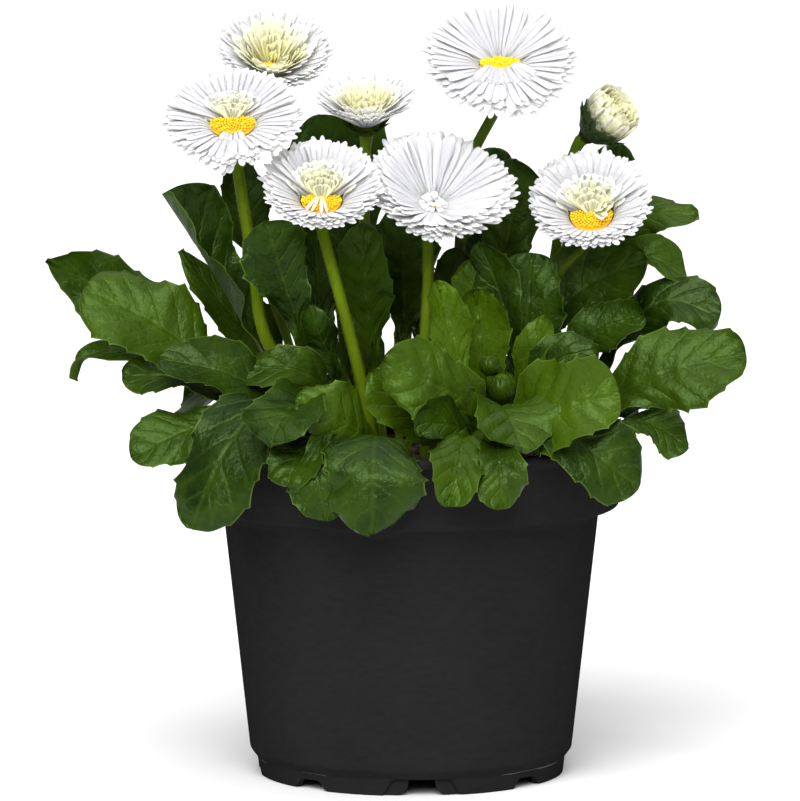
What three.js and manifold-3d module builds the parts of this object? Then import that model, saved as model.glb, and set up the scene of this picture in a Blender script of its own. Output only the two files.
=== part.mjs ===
// Potted common daisy: a double white daisy that grows in a round black nursery pot.
// Millimetres, with +Z up. Seen from the front, +X points right and +Y points away.
// The origin is on the ground, on the pot's axis.

import * as THREE from 'three';
import { mergeVertices } from 'three/addons/utils/BufferGeometryUtils.js';
import Module from 'manifold-3d';

const wasm = await Module();
wasm.setup();

// Pot sizes
const POT_HEIGHT = 91;
const RIM_RADIUS = 60;
const BODY_TOP_RADIUS = 50;
const BODY_BOTTOM_RADIUS = 42.8;
const FOOT_RADIUS = 40.4;
const FOOT_HEIGHT = 4.6;
const LEDGE_HEIGHT = 7;
const LIP_HEIGHT = 72.2;
const LIP_RADIUS = 55.4;
const WALL = 1.1;
const FLOOR_TOP = 6;
const PAD_RADIUS = 9;
const POT_SIDES = 36;

// Notches in the foot ring and drain holes in the floor, turned a little from the front
const NOTCH_TURN = 4;
const WIDE_NOTCH = { width: 18.8, height: 4.3, count: 4, offset: 0 };
const NARROW_NOTCH = { width: 8.6, height: 2.6, count: 4, offset: 45 };
const DRAIN_RADIUS = 4;
const DRAIN_CIRCLE = 25;
const DRAIN_COUNT = 8;

// Soil
const SOIL_EDGE = 83;
const SOIL_MOUND = 2;
const SOIL_SIDES = 24;
const GAP = 0.3;

// Root crowns: the short stocks in the soil that the leaves of a rosette grow from
const CROWN_BOTTOM = 78;
const CROWN_TOP = 88;
const CROWN_ROOT = 85.5;
const CROWN_SIDES = 8;
const ROOT_SHARE = 0.65;
const CROWNS = {
  left: { x: -20, y: -6, radius: 6 },
  front: { x: -10, y: -27, radius: 6.5 },
  front_right: { x: 25, y: -20, radius: 7 },
  right: { x: 39, y: 3, radius: 6.5 },
  middle: { x: -5, y: 8, radius: 6 },
  back_left: { x: -16, y: 24, radius: 6.5 },
  back_right: { x: 16, y: 22, radius: 6.5 },
};

// Leaf build: how finely a blade is divided, how thick it is, and its usual form
const WIDE_LEAF_ROWS = 8;
const SMALL_LEAF_ROWS = 6;
const WIDE_LEAF = 18;
const BLADE_THICKNESS = 0.7;
const STALK_THICKNESS = 1.6;
const STALK_HALF_WIDTH = 1.2;
const ROW_CROWDING = 1.35;
const LOBE_DEPTH = 0.12;
const LOBE_WAVES = 1.7;
const LOBE_SKEW = 0.35;
const MARGIN_WAVES = 1.5;
const MARGIN_SKEW = 0.25;
const TOOTH_DEPTH = 0.05;
const PHASE_STEP = 0.61;
const USUAL_LEAF = { fold: 14, peak: 0.66, tip: 0.45, petiole: 0.4, wave: 1.2, twist: 0 };

// Leaves that show from the front, under the crown that each grows from. Each one has the
// points that its midrib passes after the crown, its width, the way its upper side faces
// and what differs from the usual leaf: the fold along the midrib in degrees, where along
// the blade it is widest, how blunt its tip is, and the share of its length that is stalk.
const FRONT_LEAVES = {
  left: [
    { path: [[-50, 8, 106], [-76, 8, 125], [-97, 4, 136]], width: 22,
      face: [-0.2, -0.75, 0.6], fold: 10, peak: 0.5, tip: 0.9, petiole: 0.45 },
    { path: [[-44, -14, 104], [-66, -16, 121], [-86, -14, 131]], width: 25,
      face: [0.1, -0.85, 0.55], fold: 12, peak: 0.6, tip: 0.42, petiole: 0.42 },
    { path: [[-50, 0, 101], [-74, 0, 112], [-86, -2, 111], [-89, -3, 105]], width: 5,
      face: [0, -0.5, 0.8], fold: 20, petiole: 0.5 },
    { path: [[-43, -21, 101], [-60, -21, 108], [-76, -18, 108]], width: 15,
      face: [0, -0.6, 0.8], fold: 12, petiole: 0.45 },
    { path: [[-34, -24, 101], [-48, -28, 110], [-66, -28, 114]], width: 16,
      face: [0, -0.8, 0.6], peak: 0.7, petiole: 0.3 },
    { path: [[-42, -8, 118], [-54, -12, 139], [-65, -14, 156]], width: 22,
      face: [0.75, -0.5, 0.45], fold: 42, peak: 0.74, petiole: 0.42 },
    { path: [[-38, 6, 110], [-50, 6, 124], [-61, 5, 139]], width: 16,
      face: [0.2, -0.8, 0.5], fold: 10, peak: 0.4, tip: 0.9, petiole: 0.3 },
    { path: [[-38, 10, 130], [-44, 10, 148], [-46, 8, 163]], width: 14,
      face: [0, -0.9, 0.35], fold: 18, petiole: 0.6 },
    { path: [[-28, -18, 116], [-33, -22, 132], [-38, -27, 150]], width: 18,
      face: [0.1, -0.9, 0.35], fold: 12, peak: 0.72, tip: 0.4, petiole: 0.5 },
    { path: [[-22, -22, 104], [-32, -26, 111], [-46, -25, 110]], width: 13,
      face: [0.1, -0.9, 0.5], fold: 15, petiole: 0.2 },
    { path: [[-44, -27, 98], [-60, -32, 95], [-73, -33, 88]], width: 17,
      face: [-0.2, -0.75, 0.6], fold: 12, petiole: 0.45 },
    { path: [[-36, -36, 104], [-47, -48, 94], [-54, -52, 80], [-57, -50, 72]], width: 25,
      face: [-0.4, -0.85, 0.4], fold: -8, peak: 0.58, tip: 0.42, petiole: 0.3 },
    { path: [[-20, -17, 110], [-24, -20, 119], [-27, -21, 127]], width: 9,
      face: [0, -0.9, 0.3], fold: 10, petiole: 0.5 },
  ],
  front: [
    { path: [[-26, -38, 104], [-33, -52.5, 102], [-36.5, -60.5, 95]], width: 19,
      face: [-0.1, -0.7, 0.7], fold: 10, tip: 0.4, petiole: 0.35 },
    { path: [[-24, -44, 95], [-29.5, -56, 91], [-32, -62, 85]], width: 16,
      face: [-0.1, -0.7, 0.7], fold: 8, petiole: 0.4 },
    { path: [[-22, -50, 97], [-24, -62, 88], [-22, -62, 76]], width: 15,
      face: [-0.2, -0.9, 0.4], fold: -6, petiole: 0.5 },
    { path: [[-9, -54, 97], [-10, -66, 90], [-10, -68, 80], [-10, -66, 73]], width: 27,
      face: [0, -0.9, 0.45], fold: -8, peak: 0.5, petiole: 0.3 },
    { path: [[-12, -40, 95], [-20, -46, 101], [-30, -48, 105]], width: 19,
      face: [0.1, -0.85, 0.5], peak: 0.55, tip: 0.4, petiole: 0.15 },
  ],
  front_right: [
    { path: [[13, -34, 104], [5, -39, 109], [-8, -40, 114]], width: 21,
      face: [0.05, -0.9, 0.4], peak: 0.6, tip: 0.4, petiole: 0.2 },
    { path: [[6, -29, 96], [-2, -31, 102], [-10, -32, 111]], width: 17,
      face: [-0.1, -0.9, 0.4], fold: 16, petiole: 0.2 },
    { path: [[13, -42, 97], [6, -47, 99], [2, -50, 96]], width: 13,
      face: [0, -0.85, 0.5], fold: 10, petiole: 0.3 },
    { path: [[23, -34, 101], [25, -47, 102], [29, -57, 93]], width: 23,
      face: [0.3, -0.75, 0.6], fold: 12, petiole: 0.3 },
    { path: [[31, -41, 101], [42, -50, 105], [54, -50, 107]], width: 25,
      face: [0.05, -0.95, 0.35], fold: 10, peak: 0.5, tip: 0.4, petiole: 0.3 },
    { path: [[34, -26, 108], [41, -29, 115], [49, -30, 114]], width: 13,
      face: [0, -0.9, 0.4], fold: 12, petiole: 0.35 },
    { path: [[37, -42, 100], [46, -51, 93], [59, -51, 83]], width: 22,
      face: [0.15, -0.85, 0.5], petiole: 0.25 },
    { path: [[14, -50, 96], [12, -62, 88], [9, -65, 80]], width: 16,
      face: [0, -0.9, 0.45], fold: 25, petiole: 0.35 },
    { path: [[22, -52, 95], [23, -62, 88], [23, -63, 79]], width: 13,
      face: [0, -0.9, 0.45], fold: 15, tip: 0.4, petiole: 0.5 },
    { path: [[30, -6, 106], [31, -4, 124], [32, -2, 139]], width: 19,
      face: [0, -0.95, 0.2], fold: 10, tip: 0.4, petiole: 0.35 },
    { path: [[20, -20, 104], [18, -20, 118], [17, -18, 131]], width: 18,
      face: [0.05, -0.95, 0.15], fold: 35, petiole: 0.2 },
    { path: [[29, -24, 102], [32, -25, 113], [35, -24, 125]], width: 10,
      face: [-0.35, -0.9, 0.1], fold: 28, petiole: 0.25 },
    { path: [[14, -25, 107], [10, -25, 120], [7, -23, 134]], width: 12,
      face: [0.2, -0.95, 0.2], fold: 25, petiole: 0.35 },
    { path: [[27, -13, 112], [24, -12, 128], [18, -12, 143]], width: 14,
      face: [-0.4, -0.9, 0.2], fold: 22, petiole: 0.35 },
    { path: [[19, -12, 112], [17, -11, 125], [16, -10, 138]], width: 12,
      face: [0, -0.95, 0.2], fold: 15, petiole: 0.4 },
  ],
  right: [
    { path: [[52, -14, 101], [68, -20, 110], [88, -20, 114]], width: 24,
      face: [-0.1, -0.85, 0.5], fold: 12, petiole: 0.25 },
    { path: [[51, -18, 94], [62, -18, 95.5], [73, -17, 89]], width: 12,
      face: [0.1, -0.8, 0.5], fold: 12, peak: 0.75, petiole: 0.5 },
    { path: [[52, -4, 97], [60, -4, 99], [68, -4, 98]], width: 8,
      face: [0, -0.7, 0.7], fold: 10, petiole: 0.3 },
    { path: [[37, 8, 117], [47, 8, 129], [63, 6, 136]], width: 22,
      face: [-0.1, -0.85, 0.5], peak: 0.6, petiole: 0.38 },
    { path: [[48, 14, 126], [62, 14, 136], [74, 12, 130]], width: 11,
      face: [0, -0.7, 0.7], fold: 12, petiole: 0.5 },
    { path: [[43, 0, 110], [51, -2, 119], [62, -4, 122]], width: 14,
      face: [0.1, -0.8, 0.55], petiole: 0.4 },
    { path: [[46, 6, 113], [52, 9, 122], [61, 10, 125]], width: 10,
      face: [0.1, -0.8, 0.55], petiole: 0.4 },
    { path: [[54, 8, 112], [67, 7, 125], [82, 4, 121]], width: 17,
      face: [-0.1, -0.8, 0.6], fold: 12, petiole: 0.4 },
    { path: [[46, 24, 126], [62, 22, 146], [77, 18, 146]], width: 13,
      face: [0, -0.7, 0.7], fold: 12, petiole: 0.5 },
    { path: [[39, 28, 126], [49, 29, 148], [57, 26, 165]], width: 14,
      face: [-0.2, -0.85, 0.3], fold: 12, petiole: 0.55 },
  ],
  middle: [
    { path: [[-23, 4, 116], [-25, 5, 132], [-26, 6, 147]], width: 14,
      face: [0, -0.9, 0.2], fold: 25, petiole: 0.4 },
    { path: [[-2, 14, 116], [-2, 12, 134], [-2, 10, 151]], width: 18,
      face: [0, -0.95, 0.25], petiole: 0.4 },
    { path: [[-10, 0, 112], [-12, -2, 128], [-13, -4, 147]], width: 15,
      face: [0, -0.9, 0.3], fold: 20, petiole: 0.35 },
    { path: [[9, 5, 112], [11, 4, 126], [12, 3, 140]], width: 14,
      face: [0, -0.95, 0.25], fold: 16, petiole: 0.4 },
  ],
  back_left: [
    { path: [[-18, 26, 134], [-22, 28, 152], [-24, 28, 173]], width: 20,
      face: [0, -0.95, 0.25], fold: 12, petiole: 0.5 },
    { path: [[-12, 30, 134], [-13, 32, 154], [-12, 32, 176]], width: 15,
      face: [0, -0.95, 0.25], fold: 12, petiole: 0.5 },
  ],
  back_right: [
    { path: [[23, 20, 126], [27, 20, 146], [28, 18, 162]], width: 17,
      face: [0, -0.95, 0.25], fold: 10, petiole: 0.45 },
    { path: [[17, 26, 130], [20, 28, 148], [23, 28, 164]], width: 15,
      face: [0, -0.95, 0.25], fold: 10, petiole: 0.55 },
  ],
};

// Rings of leaves at the back: count, first and last azimuth, then the radius and height
// that each midrib passes at its bend, its middle and its tip, and the leaf's width
const BACK_RINGS = [
  { count: 7, from: 34, to: 150, bend: [34, 106], middle: [58, 99], tip: [70, 86], width: 20 },
  { count: 4, from: 50, to: 138, bend: [30, 112], middle: [44, 124], tip: [57, 122], width: 19 },
  { count: 3, from: 62, to: 118, bend: [36, 124], middle: [43, 140], tip: [50, 149], width: 16 },
];
const BACK_VARIATION = 3;

// Flower stems, each from the soil to its flower
const STEM_SIDES = 6;
const STEM_STEPS = 8;
const STEM_FOOT = 79;
const STEM_UPRIGHT = 6;
const STEM_CLEARANCE = 0.8;
const NECK = 0.58;

// Open blooms: receptacle centre, the way the bloom faces, radius, how far its rays rise
// from flat on average and how much more they rise at the back, and the disc's share of
// the radius. The stem is given by its foot in the soil and the points that it passes.
const BLOOMS = {
  top_left: { centre: [-38, 17, 187], axis: [-0.22, -0.58, 0.78], radius: 17,
    rise: 28, back: 8, disc: 0.22, stem: [[-30, 10], [-40, 14, 120], [-44, 18, 155]], thick: 1.5 },
  left: { centre: [-46.8, -14, 173.5], axis: [-0.04, -0.7, 0.71], radius: 19.5,
    rise: 14, back: 2, disc: 0.3, thick: 1.7,
    stem: [[-11.5, -0.5], [-15, -2, 98], [-36.5, -12, 114], [-41, -12, 133]] },
  small: { centre: [-12, 4, 171.5], axis: [0, -0.42, 0.9], radius: 16,
    rise: 34, back: 4, disc: 0, stem: [[-14.5, 11.5], [-13.2, 8.5, 113], [-12.6, 5, 138]], thick: 1.5 },
  front: { centre: [-23.5, -20, 155.5], axis: [0.02, -0.61, 0.79], radius: 17.8,
    rise: 31, back: 8, disc: 0.3, stem: [[-9, -14], [-14, -17, 110], [-19, -18, 130]], thick: 1.6 },
  centre: { centre: [6.5, -10, 154], axis: [-0.2, -0.66, 0.72], radius: 21,
    rise: 26, back: 4, disc: 0.1, stem: [[4, -10], [3.5, -9, 110], [4.5, -5, 132]], thick: 1.6 },
  top_right: { centre: [23.4, 2, 187.2], axis: [0, -0.5, 0.87], radius: 21.5,
    rise: 14, back: 12, disc: 0.24, stem: [[8, 10], [12, 10, 120], [15, 8, 160]], thick: 1.5 },
  right: { centre: [46.2, -2, 147.8], axis: [-0.12, -0.7, 0.71], radius: 19,
    rise: 31, back: 5, disc: 0.3, stem: [[28, 4], [33, 4, 115], [38, 3, 131]], thick: 1.1 },
};

// Rows of rays, outermost first: count, root radius, root height and length as shares of
// the bloom's radius, angle above flat at root and tip, and how far round from the back
// the row reaches on each side. The last two rows are cream and stand behind the disc.
const RAY_ROWS = [
  { count: 10, radius: 0.22, height: -0.05, length: 0.78, root: 0, tip: -8, reach: 180 },
  { count: 8, radius: 0.21, height: -0.02, length: 0.78, root: 7, tip: -2, reach: 180 },
  { count: 8, radius: 0.19, height: 0.01, length: 0.73, root: 14, tip: 4, reach: 180 },
  { count: 5, radius: 0.18, height: 0.04, length: 0.64, root: 22, tip: 12, reach: 180 },
  { count: 4, radius: 0.12, height: 0.06, length: 0.5, root: 34, tip: 24, reach: 125 },
  { count: 3, radius: 0.06, height: 0.08, length: 0.4, root: 44, tip: 40, reach: 95 },
];
const RAY_WIDTH = 0.22;
const RAY_THICKNESS = 0.8;
const RAY_WIDEST = 0.64;
const RAY_TIP = 0.55;
const RAY_TIP_DROP = 0.2;
const FRONT_SPAN = 0.2;
const RAY_SINK = 0.1;
const RAY_ROOT_LOW = -0.108;
const RAY_ROOT_STEP = 0.012;
const FRONT_CLEARANCE = 0.03;
const RECEPTACLE_SIDES = 7;

// Disc florets: a spiral of small points on a low dome, as shares of the bloom's radius
const FLORETS = 16;
const GOLDEN_ANGLE = 137.5;
const FLORET_RADIUS = 0.055;
const DISC_CUT = -0.05;

// Bracts of the green cup under a bloom: how many, how wide each is at its foot and where
// its tip lies, as shares of the bloom's radius
const BRACTS = 8;
const SPREAD_BRACT = { half: 0.11, tip: [0.4, 0, -0.2] };
const STEEP_BRACT = { half: 0.14, tip: [0.84, 0, 0.4] };

// The half-open bloom: its cup is made of steep rays in dark scales
const HALF_OPEN = { centre: [49.5, 12, 172.6], axis: [0.66, -0.4, 0.63], radius: 9.5,
  rise: 0, back: 0, disc: 0, stem: [[29, 14], [36, 16, 120], [42, 14, 160]], thick: 1.4 };
const HALF_OPEN_ROWS = [
  { count: 10, radius: 0.44, height: 0, length: 1.02, root: 58, tip: 66, reach: 180 },
  { count: 7, radius: 0.32, height: 0, length: 0.98, root: 68, tip: 76, reach: 180 },
  { count: 4, radius: 0.16, height: 0, length: 0.92, root: 78, tip: 84, reach: 180 },
];

// Closed buds low in the front right rosette: centre, radius and where the stalk leaves it
const BUD_STALK_RADIUS = 1;
const LOW_BUDS = [
  { centre: [23.8, -27, 106], radius: 3.8, foot: [26, -21] },
  { centre: [20.5, -27, 112], radius: 2.4, foot: [22, -23] },
];

// How far a solid's surface may move when its smallest faces are merged, and the share of
// a curve's length over which its direction is taken
const CLEAN_TOLERANCE = 0.05;
const TANGENT_STEP = 0.02;

// Materials
function finish(color, roughness) {
  return new THREE.MeshStandardMaterial({ color, roughness, metalness: 0 });
}
const POT_FINISH = finish('#232323', 0.45);
const SOIL_FINISH = finish('#3a2b20', 0.95);
const LEAF_FINISH = finish('#4c7a2a', 0.5);
const STEM_FINISH = finish('#7f9c1e', 0.55);
const RAY_FINISH = finish('#f6f6f1', 0.6);
const DISC_FINISH = finish('#f2c200', 0.7);

const radians = THREE.MathUtils.degToRad;
const vector = (numbers) => new THREE.Vector3(...numbers);

// Solids

function solidFromArrays(positions, triangles) {
  return new wasm.Manifold(new wasm.Mesh({
    numProp: 3,
    vertProperties: new Float32Array(positions),
    triVerts: new Uint32Array(triangles),
  }));
}

// The same, turned the right way out where its faces look inwards
function facingOut(positions, triangles) {
  const solid = solidFromArrays(positions, triangles);
  if (solid.volume() > 0) return solid;
  const turned = triangles.slice();
  for (let i = 0; i < turned.length; i += 3) {
    [turned[i + 1], turned[i + 2]] = [turned[i + 2], turned[i + 1]];
  }
  return solidFromArrays(positions, turned);
}

// A closed geometry as a solid
function solidOf(geometry) {
  const bare = geometry.clone();
  bare.deleteAttribute('normal');
  bare.deleteAttribute('uv');
  const merged = mergeVertices(bare, 1e-4);
  return facingOut(merged.attributes.position.array, Array.from(merged.index.array));
}

function join(solids) {
  return solids.reduce((whole, solid) => whole.add(solid));
}

// The largest body of a solid, without the loose scrap that a cut leaves
function largestBody(solid) {
  const bodies = solid.decompose();
  return bodies.reduce((best, body) => (body.volume() > best.volume() ? body : best));
}

function meshOf(name, solid, material) {
  const cleaned = largestBody(solid).simplify(CLEAN_TOLERANCE);
  const { vertProperties, triVerts } = cleaned.getMesh();
  const geometry = new THREE.BufferGeometry();
  geometry.setAttribute('position', new THREE.BufferAttribute(vertProperties, 3));
  geometry.setIndex(new THREE.BufferAttribute(triVerts, 1));
  const mesh = new THREE.Mesh(geometry, material);
  mesh.name = name;
  return mesh;
}

function lathe(profile, sides) {
  const points = profile.map(([radius, height]) => new THREE.Vector2(radius, height));
  return new THREE.LatheGeometry(points, sides).rotateX(Math.PI / 2);
}

// An upright round post between two heights
function post(x, y, radius, bottom, top, sides) {
  const profile = [[0, bottom], [radius, bottom], [radius, top], [0, top]];
  return solidOf(lathe(profile, sides).translate(x, y, 0));
}

// Curves

// A smooth curve through points. It takes the share of the length along the straight chords.
function curveThrough(points) {
  const knots = [0];
  for (let i = 1; i < points.length; i += 1) {
    knots.push(knots[i - 1] + points[i].distanceTo(points[i - 1]));
  }
  const total = knots[knots.length - 1];
  const first = points[0].clone().multiplyScalar(2).sub(points[1]);
  const last = points[points.length - 1].clone().multiplyScalar(2).sub(points[points.length - 2]);
  const padded = [first, ...points, last];
  return (share) => {
    const reached = share * total;
    let k = 0;
    while (k < points.length - 2 && reached >= knots[k + 1]) k += 1;
    const chord = knots[k + 1] - knots[k];
    const t = (reached - knots[k]) / chord;
    const [before, start, end, after] = padded.slice(k, k + 4);
    const leave = end.clone().sub(before).setLength(chord);
    const arrive = after.clone().sub(start).setLength(chord);
    return new THREE.Vector3()
      .addScaledVector(start, 2 * t ** 3 - 3 * t ** 2 + 1)
      .addScaledVector(leave, t ** 3 - 2 * t ** 2 + t)
      .addScaledVector(end, 3 * t ** 2 - 2 * t ** 3)
      .addScaledVector(arrive, t ** 3 - t ** 2);
  };
}

function tangentOf(curve, share) {
  const ahead = curve(Math.min(1, share + TANGENT_STEP));
  const behind = curve(Math.max(0, share - TANGENT_STEP));
  return ahead.sub(behind).normalize();
}

function withoutPart(direction, along) {
  return direction.clone().addScaledVector(along, -direction.dot(along)).normalize();
}

// Pot

// A notch cutter: a bar with slanted sides that runs out through the foot ring
function notchCutter({ width, height }, azimuth) {
  const slant = height * 0.4;
  const outline = new THREE.Shape([
    new THREE.Vector2(-width / 2 - 1, -1),
    new THREE.Vector2(width / 2 + 1, -1),
    new THREE.Vector2(width / 2 - slant, height),
    new THREE.Vector2(-width / 2 + slant, height),
  ]);
  const bar = new THREE.ExtrudeGeometry(outline, { depth: 9, bevelEnabled: false });
  bar.rotateX(Math.PI / 2).translate(0, -FOOT_RADIUS + 4.5, 0);
  return solidOf(bar.rotateZ(radians(azimuth)));
}

function buildPot() {
  const profile = [
    [0, 0], [PAD_RADIUS, 0], [PAD_RADIUS + 1, FOOT_HEIGHT], [FOOT_RADIUS - 2.2, FOOT_HEIGHT],
    [FOOT_RADIUS - 1.8, 0], [FOOT_RADIUS - 0.2, 0], [FOOT_RADIUS + 0.4, FOOT_HEIGHT - 0.2],
    [BODY_BOTTOM_RADIUS, LEDGE_HEIGHT], [BODY_TOP_RADIUS, LIP_HEIGHT - 2.4],
    [LIP_RADIUS, LIP_HEIGHT], [57.6, 87.6], [RIM_RADIUS, 89.2], [59.2, POT_HEIGHT],
    [57.4, POT_HEIGHT], [54.4, LIP_HEIGHT + 1.4], [BODY_TOP_RADIUS - 1.1, LIP_HEIGHT - 1.2],
    [BODY_BOTTOM_RADIUS - WALL, LEDGE_HEIGHT + 0.6], [FOOT_RADIUS - 0.6, FLOOR_TOP], [0, FLOOR_TOP],
  ];
  let pot = solidOf(lathe(profile, POT_SIDES));
  for (const notch of [WIDE_NOTCH, NARROW_NOTCH]) {
    for (let i = 0; i < notch.count; i += 1) {
      const azimuth = NOTCH_TURN + notch.offset + (360 * i) / notch.count;
      pot = pot.subtract(notchCutter(notch, azimuth));
    }
  }
  for (let i = 0; i < DRAIN_COUNT; i += 1) {
    const angle = radians(NOTCH_TURN + 22.5 + (360 * i) / DRAIN_COUNT);
    const x = DRAIN_CIRCLE * Math.cos(angle);
    const y = DRAIN_CIRCLE * Math.sin(angle);
    pot = pot.subtract(post(x, y, DRAIN_RADIUS, FOOT_HEIGHT - 1, FLOOR_TOP + 1, 8));
  }
  return pot;
}

// Soil fills the pot a little below the rim, with a hole for each crown and stem
function buildSoil() {
  const profile = [
    [0, FLOOR_TOP + GAP], [FOOT_RADIUS - 1.2, FLOOR_TOP + GAP],
    [BODY_BOTTOM_RADIUS - WALL - 0.4, LEDGE_HEIGHT + 1.4],
    [BODY_TOP_RADIUS - 1.6, LIP_HEIGHT - 1], [54, LIP_HEIGHT + 1.8], [55.4, SOIL_EDGE],
    [0, SOIL_EDGE + SOIL_MOUND],
  ];
  let soil = solidOf(lathe(profile, SOIL_SIDES));
  for (const { x, y, radius } of Object.values(CROWNS)) {
    soil = soil.subtract(post(x, y, radius + GAP, CROWN_BOTTOM - GAP, POT_HEIGHT, CROWN_SIDES));
  }
  for (const { stem, thick } of [...Object.values(BLOOMS), HALF_OPEN]) {
    const [[x, y]] = stem;
    const radius = thick + STEM_CLEARANCE;
    soil = soil.subtract(post(x, y, radius, STEM_FOOT - GAP, POT_HEIGHT, STEM_SIDES));
  }
  return soil;
}

// Leaves

// The half width of a blade: it swells to its widest point, then rounds off to the tip
function bladeShape(along, peak, tip) {
  const swell = Math.sin(0.5 * Math.PI * Math.min(1, along / peak)) ** 1.3;
  const past = Math.max(0, along - peak) / (1 - peak);
  return swell * Math.max(0, 1 - past ** 2) ** tip;
}

// One leaf as a thin closed slab. The sheet is swept along the midrib: each row is set
// across it, folded up at the midrib, lobed and toothed at the margins and waved.
function leafSolid(given, root, phase) {
  const leaf = { ...USUAL_LEAF, ...given };
  const rows = leaf.width > WIDE_LEAF ? WIDE_LEAF_ROWS : SMALL_LEAF_ROWS;
  const curve = curveThrough([root, ...leaf.path.map(vector)]);
  const side = tangentOf(curve, 0.7).cross(vector(leaf.face).normalize()).normalize();
  const fold = radians(leaf.fold);
  const upper = [];
  const lower = [];
  for (let i = 0; i <= rows; i += 1) {
    const share = 1 - (1 - i / rows) ** ROW_CROWDING;
    const along = Math.max(0, (share - leaf.petiole) / (1 - leaf.petiole));
    const tangent = tangentOf(curve, share);
    const level = withoutPart(side, tangent);
    const rise = level.clone().cross(tangent);
    const turn = radians(leaf.twist) * (share - 0.7) / 0.3;
    const across = level.clone().multiplyScalar(Math.cos(turn)).addScaledVector(rise, Math.sin(turn));
    const normal = across.clone().cross(tangent);
    let half = 0.5 * leaf.width * bladeShape(along, leaf.peak, leaf.tip);
    half = Math.max(half, STALK_HALF_WIDTH * (1 - 0.65 * along));
    if (i === rows) half = leaf.tip < 0.9 ? 0.12 * leaf.width : 0.4;
    const stalk = Math.max(0, 1 - share / leaf.petiole);
    const thickness = BLADE_THICKNESS + (STALK_THICKNESS - BLADE_THICKNESS) * stalk;
    for (const s of [-1, 0, 1]) {
      const lobe = 1 + (along > 0.05 ? LOBE_DEPTH * Math.sin(
        2 * Math.PI * (LOBE_WAVES * along + phase + LOBE_SKEW * s)) : 0);
      const tooth = 1 + (along > 0.1 ? TOOTH_DEPTH * (-1) ** i : 0);
      const reach = s * half * lobe * tooth * Math.cos(fold);
      const wave = along > 0 ? leaf.wave * s * s * Math.sin(
        2 * Math.PI * (MARGIN_WAVES * along + (s > 0 ? MARGIN_SKEW : 0) + phase)) : 0;
      const lift = Math.abs(s) * half * Math.sin(fold) + wave;
      const point = curve(share).addScaledVector(across, reach).addScaledVector(normal, lift);
      upper.push(point.clone().addScaledVector(normal, thickness / 2));
      lower.push(point.clone().addScaledVector(normal, -thickness / 2));
    }
  }
  return slabSolid(upper, lower, rows);
}

// Joins an upper and a lower sheet of three points a row into a closed slab. Both sheets
// are split into triangles alike.
function slabSolid(upper, lower, rows) {
  const under = upper.length;
  const triangles = [];
  for (let i = 0; i < rows; i += 1) {
    for (let j = 0; j < 2; j += 1) {
      const a = 3 * i + j;
      const b = a + 3;
      triangles.push(a, a + 1, b, a + 1, b + 1, b);
      triangles.push(under + a, under + b, under + a + 1);
      triangles.push(under + a + 1, under + b, under + b + 1);
    }
    const left = 3 * i;
    const right = left + 2;
    triangles.push(left, left + 3, under + left, left + 3, under + left + 3, under + left);
    triangles.push(right, under + right, right + 3, right + 3, under + right, under + right + 3);
  }
  for (let j = 0; j < 2; j += 1) {
    const end = 3 * rows + j;
    triangles.push(j, under + j, j + 1, j + 1, under + j, under + j + 1);
    triangles.push(end, end + 1, under + end, end + 1, under + end + 1, under + end);
  }
  const positions = [...upper, ...lower].flatMap((point) => point.toArray());
  return solidFromArrays(positions, triangles);
}

// Where a leaf leaves its crown: inside it, on the side that the leaf sets off to
function rootOf({ x, y, radius }, [towardsX, towardsY]) {
  const away = new THREE.Vector2(towardsX - x, towardsY - y).setLength(ROOT_SHARE * radius);
  return new THREE.Vector3(x + away.x, y + away.y, CROWN_ROOT);
}

function crownSolid({ x, y, radius }) {
  return post(x, y, radius, CROWN_BOTTOM, CROWN_TOP, CROWN_SIDES);
}

// The leaves at the back, made by a rule, under the crown that each grows from
function backLeaves() {
  const leaves = { back_left: [], back_right: [] };
  for (const { count, from, to, bend, middle, tip, width } of BACK_RINGS) {
    for (let i = 0; i < count; i += 1) {
      const azimuth = radians(from + ((to - from) * i) / (count - 1));
      const stray = BACK_VARIATION * Math.sin(7.3 * i + count);
      const at = ([radius, height], strayOut) => {
        const reach = radius + strayOut;
        return [reach * Math.cos(azimuth), reach * Math.sin(azimuth), height + stray];
      };
      const face = [-0.4 * Math.cos(azimuth), -0.4 * Math.sin(azimuth), 0.85];
      const path = [at(bend, 0), at(middle, 0), at(tip, stray)];
      const leaf = { path, width: width + 0.6 * stray, face, fold: 12, petiole: 0.42 };
      leaves[path[2][0] > 0 ? 'back_right' : 'back_left'].push(leaf);
    }
  }
  return leaves;
}

// Every rosette: its crown with its leaves fused to it
function buildRosettes() {
  const rosettes = {};
  let place = 0;
  for (const table of [FRONT_LEAVES, backLeaves()]) {
    for (const [name, leaves] of Object.entries(table)) {
      const crown = CROWNS[name];
      const solids = leaves.map((leaf) => {
        place += 1;
        return leafSolid(leaf, rootOf(crown, leaf.path[0]), PHASE_STEP * place);
      });
      rosettes[name] = join([rosettes[name] ?? crownSolid(crown), ...solids]);
    }
  }
  rosettes.front_right = join([rosettes.front_right, ...LOW_BUDS.map(buildBud)]);
  return rosettes;
}

// Blooms

// The frame of a bloom: x to its back, z the way it faces
function bloomFrame({ centre, axis }) {
  const facing = vector(axis).normalize();
  const back = withoutPart(new THREE.Vector3(0, 1, 0.25), facing);
  const side = facing.clone().cross(back);
  return new THREE.Matrix4().makeBasis(back, side, facing).setPosition(vector(centre));
}

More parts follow.
